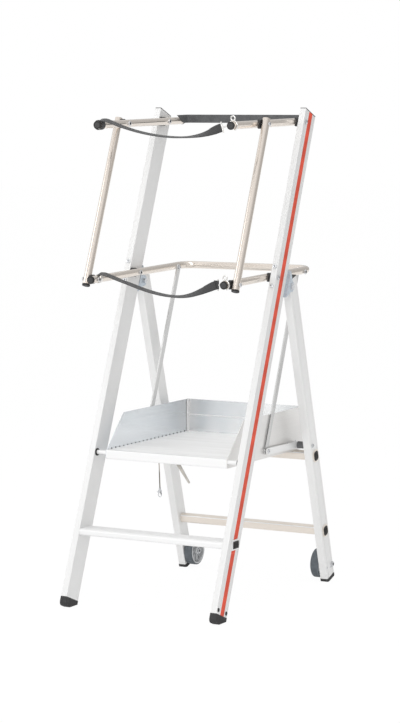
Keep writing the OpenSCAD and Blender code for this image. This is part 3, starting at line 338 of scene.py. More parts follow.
# The rear board's strong upright clouds are partly mill-sheet variation and partly painted reflection bands of the
# stiles and boards around it.
back_board_metal = drawn_metal("back_board_metal", (0.95, 0.98, 1.0), 0.72, 0.2, ALONG_X, 0.09, 0.03, 0.07, ALONG_Z,
                               corner=("X", True, 0.1, 0.22, 0.8), bump=0.03)
print("drawn finishes made")


def plated(name, colour, rough, grain):
    """Zinc on steel: small crystals that catch the light in turn."""
    made, tree, shader = new_finish(name, 0.9)
    crystals = tree.nodes.new("ShaderNodeTexVoronoi")
    crystals.inputs["Scale"].default_value = 1.0
    tree.links.new(object_grain(tree, (grain,) * 3), crystals.inputs["Vector"])
    tone = tree.nodes.new("ShaderNodeSeparateColor")
    tree.links.new(crystals.outputs["Color"], tone.inputs["Color"])
    tree.links.new(shades(tree, tone.outputs["Red"], scaled(colour, 0.92), scaled(colour, 1.08)),
                   shader.inputs["Base Color"])
    tree.links.new(spread(tree, tone.outputs["Green"], rough - 0.06, rough + 0.06), shader.inputs["Roughness"])
    return made


zinc_finish = plated("zinc_finish", (0.55, 0.61, 0.67), 0.34, 0.003)
steel_finish = plated("steel_finish", (0.66, 0.67, 0.69), 0.28, 0.0015)
pale_steel = plated("pale_steel", (0.8, 0.79, 0.77), 0.25, 0.0015)


# %% Plastic and rubber finishes
def moulded(name, colour, rough, grain, depth, gloss=0.3):
    """Moulded plastic or rubber: a fine grain and a little wear in the tone."""
    made, tree, shader = new_finish(name)
    shader.inputs["Specular IOR Level"].default_value = gloss
    fine = speckle(tree, object_grain(tree, (grain,) * 3), 4.0)
    wear = speckle(tree, object_grain(tree, (0.03, 0.03, 0.03)), 2.0)
    tree.links.new(shades(tree, wear, scaled(colour, 0.85), scaled(colour, 1.18)), shader.inputs["Base Color"])
    tree.links.new(spread(tree, fine, rough - 0.08, rough + 0.08), shader.inputs["Roughness"])
    relief(tree, shader, fine, 0.25, depth)
    return made


cap_plastic = moulded("cap_plastic", (0.026, 0.025, 0.025), 0.5, 0.0008, 0.0002)
disc_plastic = moulded("disc_plastic", (0.06, 0.06, 0.061), 0.55, 0.0008, 0.0002)
foot_rubber = moulded("foot_rubber", (0.045, 0.045, 0.046), 0.72, 0.0011, 0.0004)
# A near-black finish for sockets, nut middles and weep slots: painted shade that stands for the depth of a hole.
painted_hole_shade = moulded("painted_hole_shade", (0.012, 0.012, 0.012), 0.85, 0.001, 0.0001, 0.1)
hub_plastic = moulded("hub_plastic", (0.52, 0.53, 0.54), 0.42, 0.0009, 0.0002)
rim_plastic = moulded("rim_plastic", (0.66, 0.67, 0.68), 0.4, 0.0009, 0.0002)
lever_plastic = moulded("lever_plastic", (0.5, 0.475, 0.44), 0.45, 0.0009, 0.0002)
tyre_rubber = moulded("tyre_rubber", (0.115, 0.13, 0.145), 0.62, 0.0012, 0.0003)
spacer_plastic = moulded("spacer_plastic", (0.11, 0.112, 0.115), 0.5, 0.0009, 0.0002)
band_rubber = moulded("band_rubber", (0.105, 0.107, 0.11), 0.66, 0.0007, 0.0003)
red_tape = moulded("red_tape", (0.74, 0.086, 0.043), 0.5, 0.0009, 0.0001, 0.2)
print("moulded finishes made")


# %% Woven finish
def woven(name, colour, rib, pick):
    """Webbing: cords along the strap, crossed by picks. The strap's own UV map is in millimetres."""
    made, tree, shader = new_finish(name, 0.0, 0.78)
    shader.inputs["Sheen Weight"].default_value = 0.25
    shader.inputs["Sheen Roughness"].default_value = 0.4
    place = tree.nodes.new("ShaderNodeUVMap")
    place.uv_map = "weave"
    parts = tree.nodes.new("ShaderNodeSeparateXYZ")
    tree.links.new(place.outputs["UV"], parts.inputs["Vector"])
    waves = []
    for output, size in (("X", pick), ("Y", rib)):
        turns = tree.nodes.new("ShaderNodeMath")
        turns.operation = "MULTIPLY"
        turns.inputs[1].default_value = 2 * math.pi / size
        tree.links.new(parts.outputs[output], turns.inputs[0])
        wave = tree.nodes.new("ShaderNodeMath")
        wave.operation = "SINE"
        tree.links.new(turns.outputs[0], wave.inputs[0])
        waves.append(wave.outputs[0])
    cross = tree.nodes.new("ShaderNodeMath")
    cross.operation = "MULTIPLY_ADD"
    cross.inputs[2].default_value = 0.5
    tree.links.new(waves[0], cross.inputs[0])
    tree.links.new(waves[1], cross.inputs[1])
    tree.links.new(shades(tree, cross.outputs[0], scaled(colour, 0.65), scaled(colour, 1.3)),
                   shader.inputs["Base Color"])
    relief(tree, shader, cross.outputs[0], 0.6, 0.0004)
    return made


strap_weave = woven("strap_weave", (0.05, 0.05, 0.052), 1.6, 2.2)
stitch_weave = woven("stitch_weave", (0.11, 0.11, 0.112), 1.2, 1.6)


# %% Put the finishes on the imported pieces
def dress(finish, *nodes):
    for node in nodes:
        for place in frame["nodes"][node].material_slots:
            place.material = finish
    return len(nodes)


count = dress(stile_metal, "front_stile_left", "front_stile_right")
count += dress(leg_metal, "rear_leg_left", "rear_leg_right")
count += dress(tread_metal, "tread")
count += dress(profile_metal, "platform_front_profile", "platform_pivot_pins")
count += dress(link_metal, "link_left", "link_right")
count += dress(deck_metal, "platform_deck")
count += dress(board_metal, "toe_board_left")
count += dress(warm_lit_board_metal, "toe_board_right")
count += dress(back_board_metal, "toe_board_rear")
count += dress(rail_metal, "knee_rail", "hand_rail_left", "hand_rail_right")
count += dress(upright_metal, "upright_left", "upright_right")
count += dress(strut_metal, "strut_left", "strut_right")
count += dress(crossbar_metal, "rear_crossbar_lower", "rear_crossbar_upper")
count += dress(red_tape, "stile_stripes")
count += dress(foot_rubber, "front_feet", "rear_feet")
count += dress(cap_plastic, "stile_top_caps", "tread_plugs", "platform_bushes", "knee_rail_caps",
               "knee_rail_saddles", "hand_rail_caps", "hand_rail_saddles", "upright_caps",
               "rear_leg_caps", "crossbar_plugs")
count += dress(spacer_plastic, "link_spacers")
count += dress(zinc_finish, "hinge_brackets", "underdeck_brackets")
count += dress(steel_finish, "hinge_bolts", "bracket_bolts", "rail_pivot_bolts", "platform_studs",
               "strut_bolts", "upright_bolts", "wheel_axles", "link_bolts", "cord_hook")
count += dress(pale_steel, "strap_fittings_lower", "strap_fittings_upper")
count += dress(hub_plastic, "hub_left", "hub_right")
count += dress(lever_plastic, "release_lever")
count += dress(tyre_rubber, "tyre_left", "tyre_right")
count += dress(band_rubber, "back_band")
print("dressed", count, "of", len(frame["nodes"]), "packed pieces; straps and cord are replaced")


# %% [markdown]
# ## A helper for new pieces
# Each added piece is one mesh at the origin with its place in its vertices, and it rides on a body of the imported
# model. Doing that in one function keeps the later cells short.

# %% New piece
def new_piece(name, bm, body, slot, *finishes, sharp=35):
    bmesh.ops.remove_doubles(bm, verts=bm.verts, dist=1e-6)
    bmesh.ops.recalc_face_normals(bm, faces=bm.faces)
    mesh = bpy.data.meshes.new(name)
    bm.to_mesh(mesh)
    bm.free()
    for finish in finishes:
        mesh.materials.append(finish)
    mesh.shade_smooth()
    mesh.set_sharp_from_angle(angle=math.radians(sharp))
    made = bpy.data.objects.new(name, mesh)
    bpy.context.scene.collection.objects.link(made)
    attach(made, body)
    print(name, len(mesh.vertices), "vertices on", body)
    return made


def facing(place, out, spin=0.0):
    """A matrix that puts a shape's foot at place with its local Z along out."""
    turn = Vector(out).to_track_quat("Z", "Y").to_matrix().to_4x4()
    return Matrix.Translation(place) @ turn @ Matrix.Rotation(spin, 4, "Z")


# %% [markdown]
# ## Webbing straps
# Two flat straps close the entry. Each lies nearly flat at its left end and turns on edge where it is
# sewn round the clip's bar. A curve with a tilt could draw that, but a section that is extruded step
# by step, and moved to the next place on the route, also gives clean UVs for the weave.

# %% Route helpers
def smooth_route(points, steps):
    """Points along a curve that passes through every route point."""
    points = [Vector(p) for p in points]
    ends = [2 * points[0] - points[1]] + points + [2 * points[-1] - points[-2]]
    made = []
    for a, b, c, d in zip(ends, ends[1:], ends[2:], ends[3:]):
        for step in range(steps):
            t = step / steps
            made.append(0.5 * (2 * b + (c - a) * t + (2 * a - 5 * b + 4 * c - d) * t * t
                               + (3 * b - a - 3 * c + d) * t ** 3))
    return made + [points[-1]]


def route_length(points):
    return sum((b - a).length for a, b in zip(points, points[1:]))


def ease(t):
    t = min(1.0, max(0.0, t))
    return t * t * (3 - 2 * t)


# %% Swept webbing
STRAP_W, STRAP_T = 0.028, 0.002
BANDS = 8


def band_section(bm, width, thick):
    """One closed section of webbing in the local XY plane, with thin edges."""
    half, edge = width / 2, thick / 2
    upper = [(-half + width * i / BANDS, thick / 2) for i in range(1, BANDS)]
    outline = [(-half, 0.0), (-half + edge, thick / 2)] + upper + [(half - edge, thick / 2), (half, 0.0)]
    outline += [(half - edge, -thick / 2)] + [(x, -y) for x, y in reversed(upper)] + [(-half + edge, -thick / 2)]
    return bm.faces.new([bm.verts.new((x, y, 0)) for x, y in outline])


def swept_webbing(name, path, turns, width, thick, body, finish, lift=0.0):
    """Extrudes a section along the path; turns gives the twist at each point in radians."""
    bm = bmesh.new()
    along = bm.verts.layers.float.new("along")
    side = bm.verts.layers.float.new("side")
    face = band_section(bm, width, thick)
    for vert in face.verts:
        vert[side] = vert.co.x / MM
    places = []
    for i, point in enumerate(path):
        ahead = (path[min(i + 1, len(path) - 1)] - path[max(i - 1, 0)]).normalized()
        level_way = Vector((0, 1, 0))
        wide = level_way * math.cos(turns[i]) + ahead.cross(level_way) * math.sin(turns[i])
        normal = ahead.cross(wide)
        turn = Matrix((wide, normal, wide.cross(normal))).transposed().to_4x4()
        places.append(Matrix.Translation(point + normal * lift) @ turn)
    bmesh.ops.transform(bm, matrix=places[0], verts=face.verts)
    gone = 0.0
    for i in range(1, len(path)):
        gone += (path[i] - path[i - 1]).length / MM
        grown = bmesh.ops.extrude_face_region(bm, geom=[face])["geom"]
        verts = [g for g in grown if isinstance(g, bmesh.types.BMVert)]
        face = next(g for g in grown if isinstance(g, bmesh.types.BMFace))
        bmesh.ops.transform(bm, matrix=places[i] @ places[i - 1].inverted(), verts=verts)
        for vert in verts:
            vert[along] = gone
    weave = bm.loops.layers.uv.new("weave")
    for f in bm.faces:
        for loop in f.loops:
            loop[weave].uv = (loop.vert[along], loop.vert[side])
    return new_piece(name, bm, body, "webbing", finish, sharp=50)


# %% Strap routes
KNEE_ROUTE = [(-240, -282, 1080.2), (-228, -282, 1080.2), (-220, -283, 1079.9), (-190, -287, 1072),
              (-156, -291, 1062), (-116, -295, 1051), (-77, -299, 1040), (-39, -303, 1031),
              (0, -307, 1024), (38, -311, 1020), (77, -315, 1020), (115, -319, 1026),
              (152, -322, 1038), (184, -324, 1051), (200, -324.5, 1058), (210.5, -324.5, 1061.2)]
HAND_Y = -275.5
HAND_ROUTE = [(-240, HAND_Y, 1579), (-222, HAND_Y, 1579), (-202, HAND_Y, 1573), (-168, HAND_Y, 1561),
              (-131, HAND_Y, 1550), (-94, HAND_Y, 1541), (-57, HAND_Y, 1534), (-20, HAND_Y, 1529),
              (16, HAND_Y, 1526), (52, HAND_Y, 1525), (88, HAND_Y, 1527), (124, HAND_Y, 1532),
              (152, HAND_Y, 1539), (172, HAND_Y, 1546), (188, HAND_Y, 1552), (200, HAND_Y, 1556)]
LEFT_TILT, MIDDLE_TILT, LEFT_SHARE, TWIST_FROM = math.radians(17), math.radians(9), 0.3, 0.6


def strap_turns(count):
    shares = [i / (count - 1) for i in range(count)]
    return [MIDDLE_TILT + (LEFT_TILT - MIDDLE_TILT) * (1 - ease(s / LEFT_SHARE))
            + (math.pi / 2 - MIDDLE_TILT) * ease((s - TWIST_FROM) / (1 - TWIST_FROM)) for s in shares]


straps = {}
for label, route, body in (("lower", KNEE_ROUTE, "knee_rail_body"), ("upper", HAND_ROUTE, "hand_rail_body")):
    path = smooth_route([Vector(place) * MM for place in route], 6)
    turns = strap_turns(len(path))
    strap = swept_webbing(f"strap_{label}_webbing", path, turns, STRAP_W, STRAP_T, body, strap_weave)
    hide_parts(f"strap_{label}")
    straps[label] = (path, turns, body)
    print("strap", label, round(route_length(path), 4), "m")

# %% [markdown]
# ## Hold cord
# A thin braided cord with a small snap hook hangs under the deck and holds the folded step shut. It is
# a true round cord, so a curve with a bevel is the natural tool, and its points are its centreline.

# %% Hold cord
CORD_D = 0.004
CORD_ROUTE = [(-168, 458), (-168, 440), (-166, 415), (-165, 390), (-164, 365), (-163, 344)]
CORD_Y = -0.004
cord_path = smooth_route([(x * MM, CORD_Y, z * MM) for x, z in CORD_ROUTE], 4)
cord_curve = bpy.data.curves.new("hold_cord_braid", "CURVE")
cord_curve.dimensions = "3D"
cord_curve.bevel_depth = CORD_D / 2
cord_curve.bevel_resolution = 3
cord_curve.use_fill_caps = True
line = cord_curve.splines.new("POLY")
line.points.add(len(cord_path) - 1)
for point, place in zip(line.points, cord_path):
    point.co = (*place, 1)


def braid(name, upper, lower, low, high):
    """A braided cord that is lighter above high and darker below low; low and high are heights."""
    made, tree, shader = new_finish(name, 0.0, 0.8)
    where = tree.nodes.new("ShaderNodeTexCoord")
    parts = tree.nodes.new("ShaderNodeSeparateXYZ")
    tree.links.new(where.outputs["Object"], parts.inputs["Vector"])
    place = tree.nodes.new("ShaderNodeMapRange")
    place.inputs["From Min"].default_value, place.inputs["From Max"].default_value = low, high
    tree.links.new(parts.outputs["Z"], place.inputs["Value"])
    tree.links.new(shades(tree, place.outputs["Result"], lower, upper), shader.inputs["Base Color"])
    relief(tree, shader, speckle(tree, object_grain(tree, (0.0012,) * 3), 4.0), 0.4, 0.0006)
    return made


cord_braid = braid("cord_braid", (0.62, 0.58, 0.53), (0.2, 0.175, 0.155), 0.38, 0.42)
cord_curve.materials.append(cord_braid)
hold_cord = bpy.data.objects.new("hold_cord_braid", cord_curve)
bpy.context.scene.collection.objects.link(hold_cord)
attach(hold_cord, "platform")
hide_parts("hold_cord")
print("hold cord", round(route_length(cord_path), 4), "m")

# %% [markdown]
# ## Sewn strap ends
# At the clip each strap is folded back and sewn, so its last hand's width is two layers thick with a
# stitched patch. The same sweep draws the second layer, lifted by one thickness. The upper strap goes
# round its left tube in a loop, and the lower one ends in a tight eye round the clip's bar. Both are a
# flat section that is spun about the tube or the bar.

# %% Sewn ends
SEWN = 0.045
for label, (path, turns, body) in straps.items():
    start = next(i for i in range(len(path)) if route_length(path[i:]) < SEWN)
    for side, share in ((1, 1.0), (-1, 0.72)):
        first = len(path) - max(3, round((len(path) - start) * share))
        swept_webbing(f"strap_{label}_sewn_{'back' if side > 0 else 'front'}", path[first:], turns[first:],
                      STRAP_W * 0.97, STRAP_T * 0.8, body, stitch_weave if share < 1 else strap_weave,
                      side * STRAP_T * 0.95)

# %% Loop round the left tube and eye round the clip's bar
LOOP_IN, LOOP_OUT = 0.0143, 0.0162
knee, hand = pivot["knee_rail_fold"], pivot["hand_rail_fold"]
RAIL_X, TUBE_R = 0.2425, 0.0125


def on_rail(start, x, r):
    """A place on a tilted rail's middle line, r behind its pivot."""
    return start + Vector((x, r * math.cos(RAIL_TILT), r * math.sin(RAIL_TILT)))


def ring_section(bm, inner, outer, half, edge):
    """A flat rounded section beside the Z axis, as a loop of edges ready for a spin."""
    corners = [(inner, -half + edge), (inner, half - edge), (inner + edge, half), (outer - edge, half),
               (outer, half - edge), (outer, -half + edge), (outer - edge, -half), (inner + edge, -half)]
    verts = [bm.verts.new((x, 0, z)) for x, z in corners]
    return verts + [bm.edges.new((a, b)) for a, b in zip(verts, verts[1:] + verts[:1])]


def spun(bm, geometry, steps=32):
    """Spins geometry a full turn about the Z axis."""
    bmesh.ops.spin(bm, geom=geometry, cent=(0, 0, 0), axis=(0, 0, 1), angle=2 * math.pi, steps=steps,
                   use_merge=True)


def webbing_ring(name, centre, axis, inner, outer, half, body):
    """A loop of webbing round a tube or a bar, with its own weave map."""
    bm = bmesh.new()
    spun(bm, ring_section(bm, inner, outer, half, 0.0006), 40)
    weave = bm.loops.layers.uv.new("weave")
    for f in bm.faces:
        for loop in f.loops:
            place = loop.vert.co
            loop[weave].uv = (math.atan2(place.y, place.x) * outer / MM, place.z / MM)
    bmesh.ops.transform(bm, matrix=facing(centre, axis), verts=bm.verts)
    new_piece(name, bm, body, "webbing", strap_weave, sharp=50)


tube_way = (0, math.cos(RAIL_TILT), math.sin(RAIL_TILT))
clip_way = (0, -math.sin(RAIL_TILT), math.cos(RAIL_TILT))
webbing_ring("strap_upper_loop", on_rail(hand, -RAIL_X, -0.448), tube_way, LOOP_IN, LOOP_OUT, 0.011, "hand_rail_body")
clip_bar = on_rail(knee, 0.2177, -0.2975)
webbing_ring("strap_lower_eye", clip_bar, clip_way, 0.0023, 0.0034, 0.0138, "knee_rail_body")
tongue = bmesh.new()
bmesh.ops.create_cube(tongue, size=1, matrix=Matrix.Translation(Vector(clip_bar) - Vector((0.0092, 0, 0)))
                      @ Matrix.Diagonal((0.01, 0.0022, 0.0276, 1)))
weave = tongue.loops.layers.uv.new("weave")
for f in tongue.faces:
    for loop in f.loops:
        loop[weave].uv = (loop.vert.co.x / MM, loop.vert.co.z / MM)
new_piece("strap_lower_tongue", tongue, "knee_rail_body", "webbing", strap_weave)

# %% [markdown]
# ## Bolt heads and nuts
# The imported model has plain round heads. A real one is a pan head with a driven socket, and its nut
# is a chamfered hexagon. A head is a profile that is spun about its bolt. A nut is a six-sided face that
# is extruded, bevelled and inset. Both are a little larger than the plain ones, so they cover them.

# %% Head and nut shapes
def placed(bm, part, matrix):
    """Puts a finished small shape into a larger mesh; the small bmesh is used up."""
    bmesh.ops.transform(part, matrix=matrix, verts=part.verts)
    carrier = bpy.data.meshes.new("carrier")
    part.to_mesh(carrier)
    part.free()
    bm.from_mesh(carrier)
    bpy.data.meshes.remove(carrier)


def finish_middle(part, radius):
    """Faces nearer to the Z axis than this, in millimetres, take the second finish."""
    for face in part.faces:
        middle = face.calc_center_median()
        face.material_index = int(math.hypot(middle.x, middle.y) < radius * MM)


def lathe(bm, profile, steps=28):
    """Spins a profile of (radius, height) pairs in millimetres about the Z axis."""
    verts = [bm.verts.new((r * MM, 0, h * MM)) for r, h in profile]
    edges = [bm.edges.new(pair) for pair in zip(verts, verts[1:])]
    spun(bm, verts + edges, steps)


def pan_head(bm, place, out, d, h, socket):
    """A bolt head with a dark socket: faces inside the socket take the second finish, painted shade for the socket's
    depth.
    """
    part, r = bmesh.new(), d / 2
    lathe(part, [(r, 0), (r, h * 0.8), (r * 0.93, h * 0.96), (r * 0.75, h * 1.08), (socket, h * 1.14),
                 (socket * 0.94, h * 1.1), (socket * 0.9, h * 1.02), (0, h * 1.02)])
    finish_middle(part, socket * 0.97)
    placed(bm, part, facing(place, out))


def hexagon(flats, h):
    """A six-sided block on the XY plane, and its top face."""
    part = bmesh.new()
    made = bmesh.ops.create_circle(part, cap_ends=True, segments=6, radius=flats / math.sqrt(3) * MM)
    grown = bmesh.ops.extrude_face_region(part, geom=made["verts"][0].link_faces[:], use_keep_orig=True)["geom"]
    top = next(g for g in grown if isinstance(g, bmesh.types.BMFace))
    bmesh.ops.translate(part, verts=top.verts, vec=(0, 0, h * MM))
    return part, top


def hex_nut(bm, place, out, flats, h, hole):
    """A hexagon with chamfered edges and a dark sunken middle, painted shade for the bolt hole."""
    part, top = hexagon(flats, h)
    bmesh.ops.inset_region(part, faces=[top], thickness=flats * 0.06 * MM, depth=flats * 0.03 * MM)
    bmesh.ops.inset_region(part, faces=[top], thickness=(flats / 2 * 0.9 - hole) * MM)
    bmesh.ops.inset_region(part, faces=[top], thickness=0.3 * MM, depth=-0.25 * MM)
    top.material_index = 1
    placed(bm, part, facing(place, out))


# %% Places on the stiles and legs
def on_stile(x, s, d):
    """x across, s up the stile and d behind its front, all in millimetres."""
    up, behind = s - 1115, d - 15
    return knee + Vector((x, up * math.sin(STILE_LEAN) + behind * math.cos(STILE_LEAN),
                          up * math.cos(STILE_LEAN) - behind * math.sin(STILE_LEAN))) * MM


hinge = pivot["rear_frame_fold"]


def on_leg(x, a, h):
    """x across, a behind the hinge bolt and h up the leg, all in millimetres."""
    return hinge + Vector((x, a * math.cos(LEG_LEAN) - h * math.sin(LEG_LEAN),
                           a * math.sin(LEG_LEAN) + h * math.cos(LEG_LEAN))) * MM


STILE_FRONT = Vector((0, -math.cos(STILE_LEAN), math.sin(STILE_LEAN)))
OUT_OF = {1: Vector((1, 0, 0)), -1: Vector((-1, 0, 0))}


def beside(start, x):
    return start + Vector((x * MM, 0, 0))


# %% Heads and nuts
STILE_OUT, STILE_MID, RAIL_INNER, LEG_OUT = 284.5, 273.5, 229.5, 291.0
low, high = pivot["upright_swing"], on_rail(hand, 0, -0.277)
strut_low, link_leg, axle = (pivot[name] for name in ("strut_left_swing", "link_left_swing", "wheel_left_spin"))
strut_top = strut_low + knee - pivot["platform_fold"]
bolted = {name: bmesh.new() for name in ("front_frame", "uprights", "knee_rail_body", "rear_frame",
                                         "link_left_body", "link_right_body")}
for side in (-1, 1):
    out, into = OUT_OF[side], OUT_OF[-side]
    bm = bolted["front_frame"]
    for s in (1115 - 33, 1115 + 33):
        pan_head(bm, on_stile(side * STILE_MID, s, 0), STILE_FRONT, 13.6, 4.1, 1.9)
        hex_nut(bm, on_stile(side * STILE_MID, s, 80.5), -STILE_FRONT, 13.6, 4.9, 4)
    for start in (knee, hand):
        pan_head(bm, beside(start, side * STILE_OUT), out, 14.5, 4.1, 2.2)
        hex_nut(bm, beside(start, side * RAIL_INNER), into, 13.6, 4.9, 4)
    for start in (low, high):
        pan_head(bolted["uprights"], beside(start, side * 285), out, 13.6, 4.1, 1.9)
        hex_nut(bolted["uprights"], beside(start, side * RAIL_INNER), into, 13.6, 4.9, 4)
    pan_head(bolted["knee_rail_body"], beside(strut_top, side * 224), into, 13.6, 4.1, 1.9)
    hex_nut(bolted["knee_rail_body"], beside(strut_top, side * 255), out, 13.6, 4.9, 4)
    bm = bolted["rear_frame"]
    pan_head(bm, beside(link_leg, side * LEG_OUT), out, 13.6, 4.1, 1.9)
    hex_nut(bm, beside(link_leg, side * 232), into, 13.6, 4.9, 4)
    hex_nut(bm, beside(axle, side * LEG_OUT), out, 17, 5.1, 5)
    hex_nut(bm, beside(axle, side * 231), into, 17, 6.1, 5)
    pan_head(bolted["link_right_body" if side > 0 else "link_left_body"],
             beside(strut_low, side * 237.5), out, 15, 2.6, 1.8)
for body, bm in bolted.items():
    new_piece(f"bolt_heads_{body}", bm, body, "bolt_steel", steel_finish, painted_hole_shade, sharp=30)

# %% [markdown]
# ## Rings round the hinge bolts
# The hinge bolts are the widest point of the step, so nothing may stand further out. A flanged hexagon
# round each head, a little lower than the head, gives the spanner faces without growing the part.

# %% Hinge rings
bm = bmesh.new()
for side in (-1, 1):
    part, top = hexagon(18.5, 4.0)
    bmesh.ops.inset_region(part, faces=[top], thickness=1.0 * MM, depth=0.6 * MM)
    placed(bm, part, facing(beside(hinge, side * 294), OUT_OF[side], 0.3))
    part = bmesh.new()
    spun(part, ring_section(part, 0.0082, 0.0122, 0.0005, 0.0002), 36)
    placed(bm, part, facing(beside(hinge, side * 294.5), OUT_OF[side]))
new_piece("hinge_bolt_flanges", bm, "front_frame", "bolt_steel", steel_finish, sharp=30)

# %% [markdown]
# ## Tube caps
# Each open rail end has a pressed-in plastic cap: a soft rim over the tube's edge and a shallow dish in the middle.
# It is one turned profile, and the dish takes a lighter finish.

# %% Tube caps
RAIL_WAY = Vector((0, math.cos(RAIL_TILT), math.sin(RAIL_TILT)))
CAP_PROFILE = [(12.7, -1.5), (13.1, -1.0), (13.1, 3.4), (12.3, 4.6), (10.6, 5.0), (9.4, 4.7), (8.9, 4.25), (0, 4.15)]


def tube_cap(bm, place, out):
    part = bmesh.new()
    lathe(part, CAP_PROFILE, 36)
    finish_middle(part, 8.6)
    placed(bm, part, facing(place, out))


for body, start, ends in (("knee_rail_body", knee, (-0.304,)), ("hand_rail_body", hand, (-0.463, 0.114))):
    bm = bmesh.new()
    for side in (-1, 1):
        for r in ends:
            tube_cap(bm, on_rail(start, side * RAIL_X, r), RAIL_WAY if r > 0 else -RAIL_WAY)
    new_piece(f"end_caps_{body}", bm, body, "black_plastic", cap_plastic, disc_plastic)

bm = bmesh.new()
for side in (-1, 1):
    foot_of = low + Vector((side * 0.2725, -0.019 * math.sin(STILE_LEAN), -0.019 * math.cos(STILE_LEAN)))
    tube_cap(bm, foot_of, Vector((0, -math.sin(STILE_LEAN), -math.cos(STILE_LEAN))))
new_piece("end_caps_uprights", bm, "uprights", "black_plastic", cap_plastic, disc_plastic)

# %% [markdown]
# ## Wheels
# A moulded wheel has a pale rim, a sunken disc with ribs and a boss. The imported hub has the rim, disc
# and boss, so only the ribs and the rim's rounded lip are added. One rib is a box whose edges are
# bevelled, and it is turned about the axle for the rest.

# %% Wheel details
WHEEL_IN, WHEEL_W, RIBS = 231.5, 30.0, 8


def bar(size, edge, segments=1):
    """A box with rounded edges about the origin; size and edge in millimetres."""
    part = bmesh.new()
    bmesh.ops.create_cube(part, size=1.0)
    bmesh.ops.scale(part, verts=part.verts, vec=Vector(size) * MM)
    bmesh.ops.bevel(part, geom=part.edges[:], offset=edge * MM, segments=segments, profile=0.5,
                    affect="EDGES", material=-1)
    return part


for side, label in ((-1, "left"), (1, "right")):
    bm = bmesh.new()
    middle = beside(axle, side * (WHEEL_IN + WHEEL_W / 2))
    for way in (-1, 1):
        face_out = facing(middle, OUT_OF[way])
        for i in range(RIBS):
            turn = Matrix.Rotation(2 * math.pi * i / RIBS, 4, "Z")
            placed(bm, bar((30.6, 2.2, 4.0), 0.5), face_out @ turn @ Matrix.Translation((27.0 * MM, 0, 6.4 * MM)))
        part = bmesh.new()
        lathe(part, [(41.6, 14.2), (41.9, 15.3), (43.0, 15.9), (44.4, 15.9), (45.4, 15.2), (45.5, 14.2)], 64)
        lathe(part, [(12.1, 13.6), (12.1, 15.0), (11.2, 15.4), (8.6, 15.4), (8.4, 14.9)], 40)
        for face in part.faces:
            face.material_index = 1
        placed(bm, part, face_out)
    new_piece(f"wheel_ribs_{label}", bm, f"wheel_{label}", "grey_plastic", hub_plastic, rim_plastic, sharp=40)

# %% [markdown]
# ## Plugs and rivets
# Small dark plugs close the stile feet, ribbed plugs fill the tread and the crossbars, and rivets hold
# the toe boards and the feet. Each is a turned profile or a bevelled box, collected into one mesh for
# every body that carries it.

# %% Stile plugs and rivets
bm = bmesh.new()
for side in (-1, 1):
    for d in (10, 68):
        part = bmesh.new()
        lathe(part, [(6.6, 0), (6.6, 0.7), (5.9, 1.2), (3.4, 1.3), (2.8, 0.9), (0, 0.8)])
        placed(bm, part, facing(on_stile(side * STILE_OUT, 13, d), OUT_OF[side]))
new_piece("stile_foot_plugs", bm, "front_frame", "black_plastic", cap_plastic)


def rivet(bm, place, out, d):
    part = bmesh.new()
    lathe(part, [(d / 2, 0), (d / 2, d * 0.06), (d * 0.42, d * 0.18), (d * 0.24, d * 0.26), (d * 0.1, d * 0.22),
                 (0, d * 0.2)], 20)
    placed(bm, part, facing(place, out))


bm = bmesh.new()
for side in (-1, 1):
    for a, h in ((22, -1063), (-4, -1055)):
        rivet(bm, on_leg(side * LEG_OUT, a, h + 20), OUT_OF[side], 7)
new_piece("rear_foot_rivets", bm, "rear_frame", "bolt_steel", steel_finish)

deck_y, deck_z = pivot["platform_fold"].y, pivot["platform_fold"].z
bm = bmesh.new()
for side in (-1, 1):
    for y in (0.085, 0.439, 0.5):
        rivet(bm, Vector((side * 0.224, deck_y + y, deck_z + 0.011)), OUT_OF[side], 6)
for x in (-0.17, -0.057, 0.057, 0.17):
    rivet(bm, Vector((x, pivot["platform_fold"].y + 0.565, deck_z - 0.008)), (0, 1, 0), 6)
new_piece("toe_board_rivets", bm, "platform", "bolt_steel", steel_finish)

# %% Ribs on the plugs
def plug_ribs(bm, place, turn, wide, high, count):
    """Upright ribs across a plug's outer face; place is the middle of that face."""
    for i in range(count):
        shift = Matrix.Translation((0, (i - (count - 1) / 2) * wide / count * MM, 0))
        placed(bm, bar((1.6, wide / count * 0.5, high), 0.35, 2),
               Matrix.Translation(place) @ Matrix.Rotation(turn, 4, "X") @ shift)


tread_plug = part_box("tread_plugs")
bm = bmesh.new()
for side in (-1, 1):
    middle = (tread_plug[0] + tread_plug[1]) / 2
    plug_ribs(bm, Vector((side * tread_plug[1].x, middle.y, middle.z)), 0, 31, 17, 6)
new_piece("tread_plug_ribs", bm, "front_frame", "black_plastic", cap_plastic)

bm = bmesh.new()
for node in ("rear_crossbar_lower", "rear_crossbar_upper"):
    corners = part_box(node)
    middle = (corners[0] + corners[1]) / 2
    for side in (-1, 1):
        plug_ribs(bm, Vector((side * 0.2955, middle.y, middle.z)), LEG_LEAN, 24, 20, 5)
new_piece("crossbar_plug_ribs", bm, "rear_frame", "black_plastic", cap_plastic)

# %% [markdown]
# ## Trim lines
# A thin dark line along the inner side of each hand rail is a painted reflection, the dark band that a shiny tube
# shows, and a dark strip on the front edge of each strut where it passes the toe board is the painted shadow of the
# gap between them. In the tray, weep slots at every groove of the deck are dark strips in the foot of the side
# boards, painted shade for the holes, and white strips lie on the folded flanges in the two rear corners and on the
# rolled edge that ends the doubled sheet of the rear board: real folds, with a painted highlight along them. All of
# them are long bevelled bars laid along their piece.


# %% Trim lines
def strip(bm, start, end, wide, out, thick):
    """A long bar from start to end with rounded edges; out is the way that its face looks."""
    part = bar((wide / MM, (end - start).length / MM, thick / MM), min(wide, thick) * 0.3 / MM)
    along = (end - start).normalized()
    across = along.cross(out).normalized()
    turn = Matrix((across, along, across.cross(along))).transposed().to_4x4()
    placed(bm, part, Matrix.Translation((start + end) / 2) @ turn)
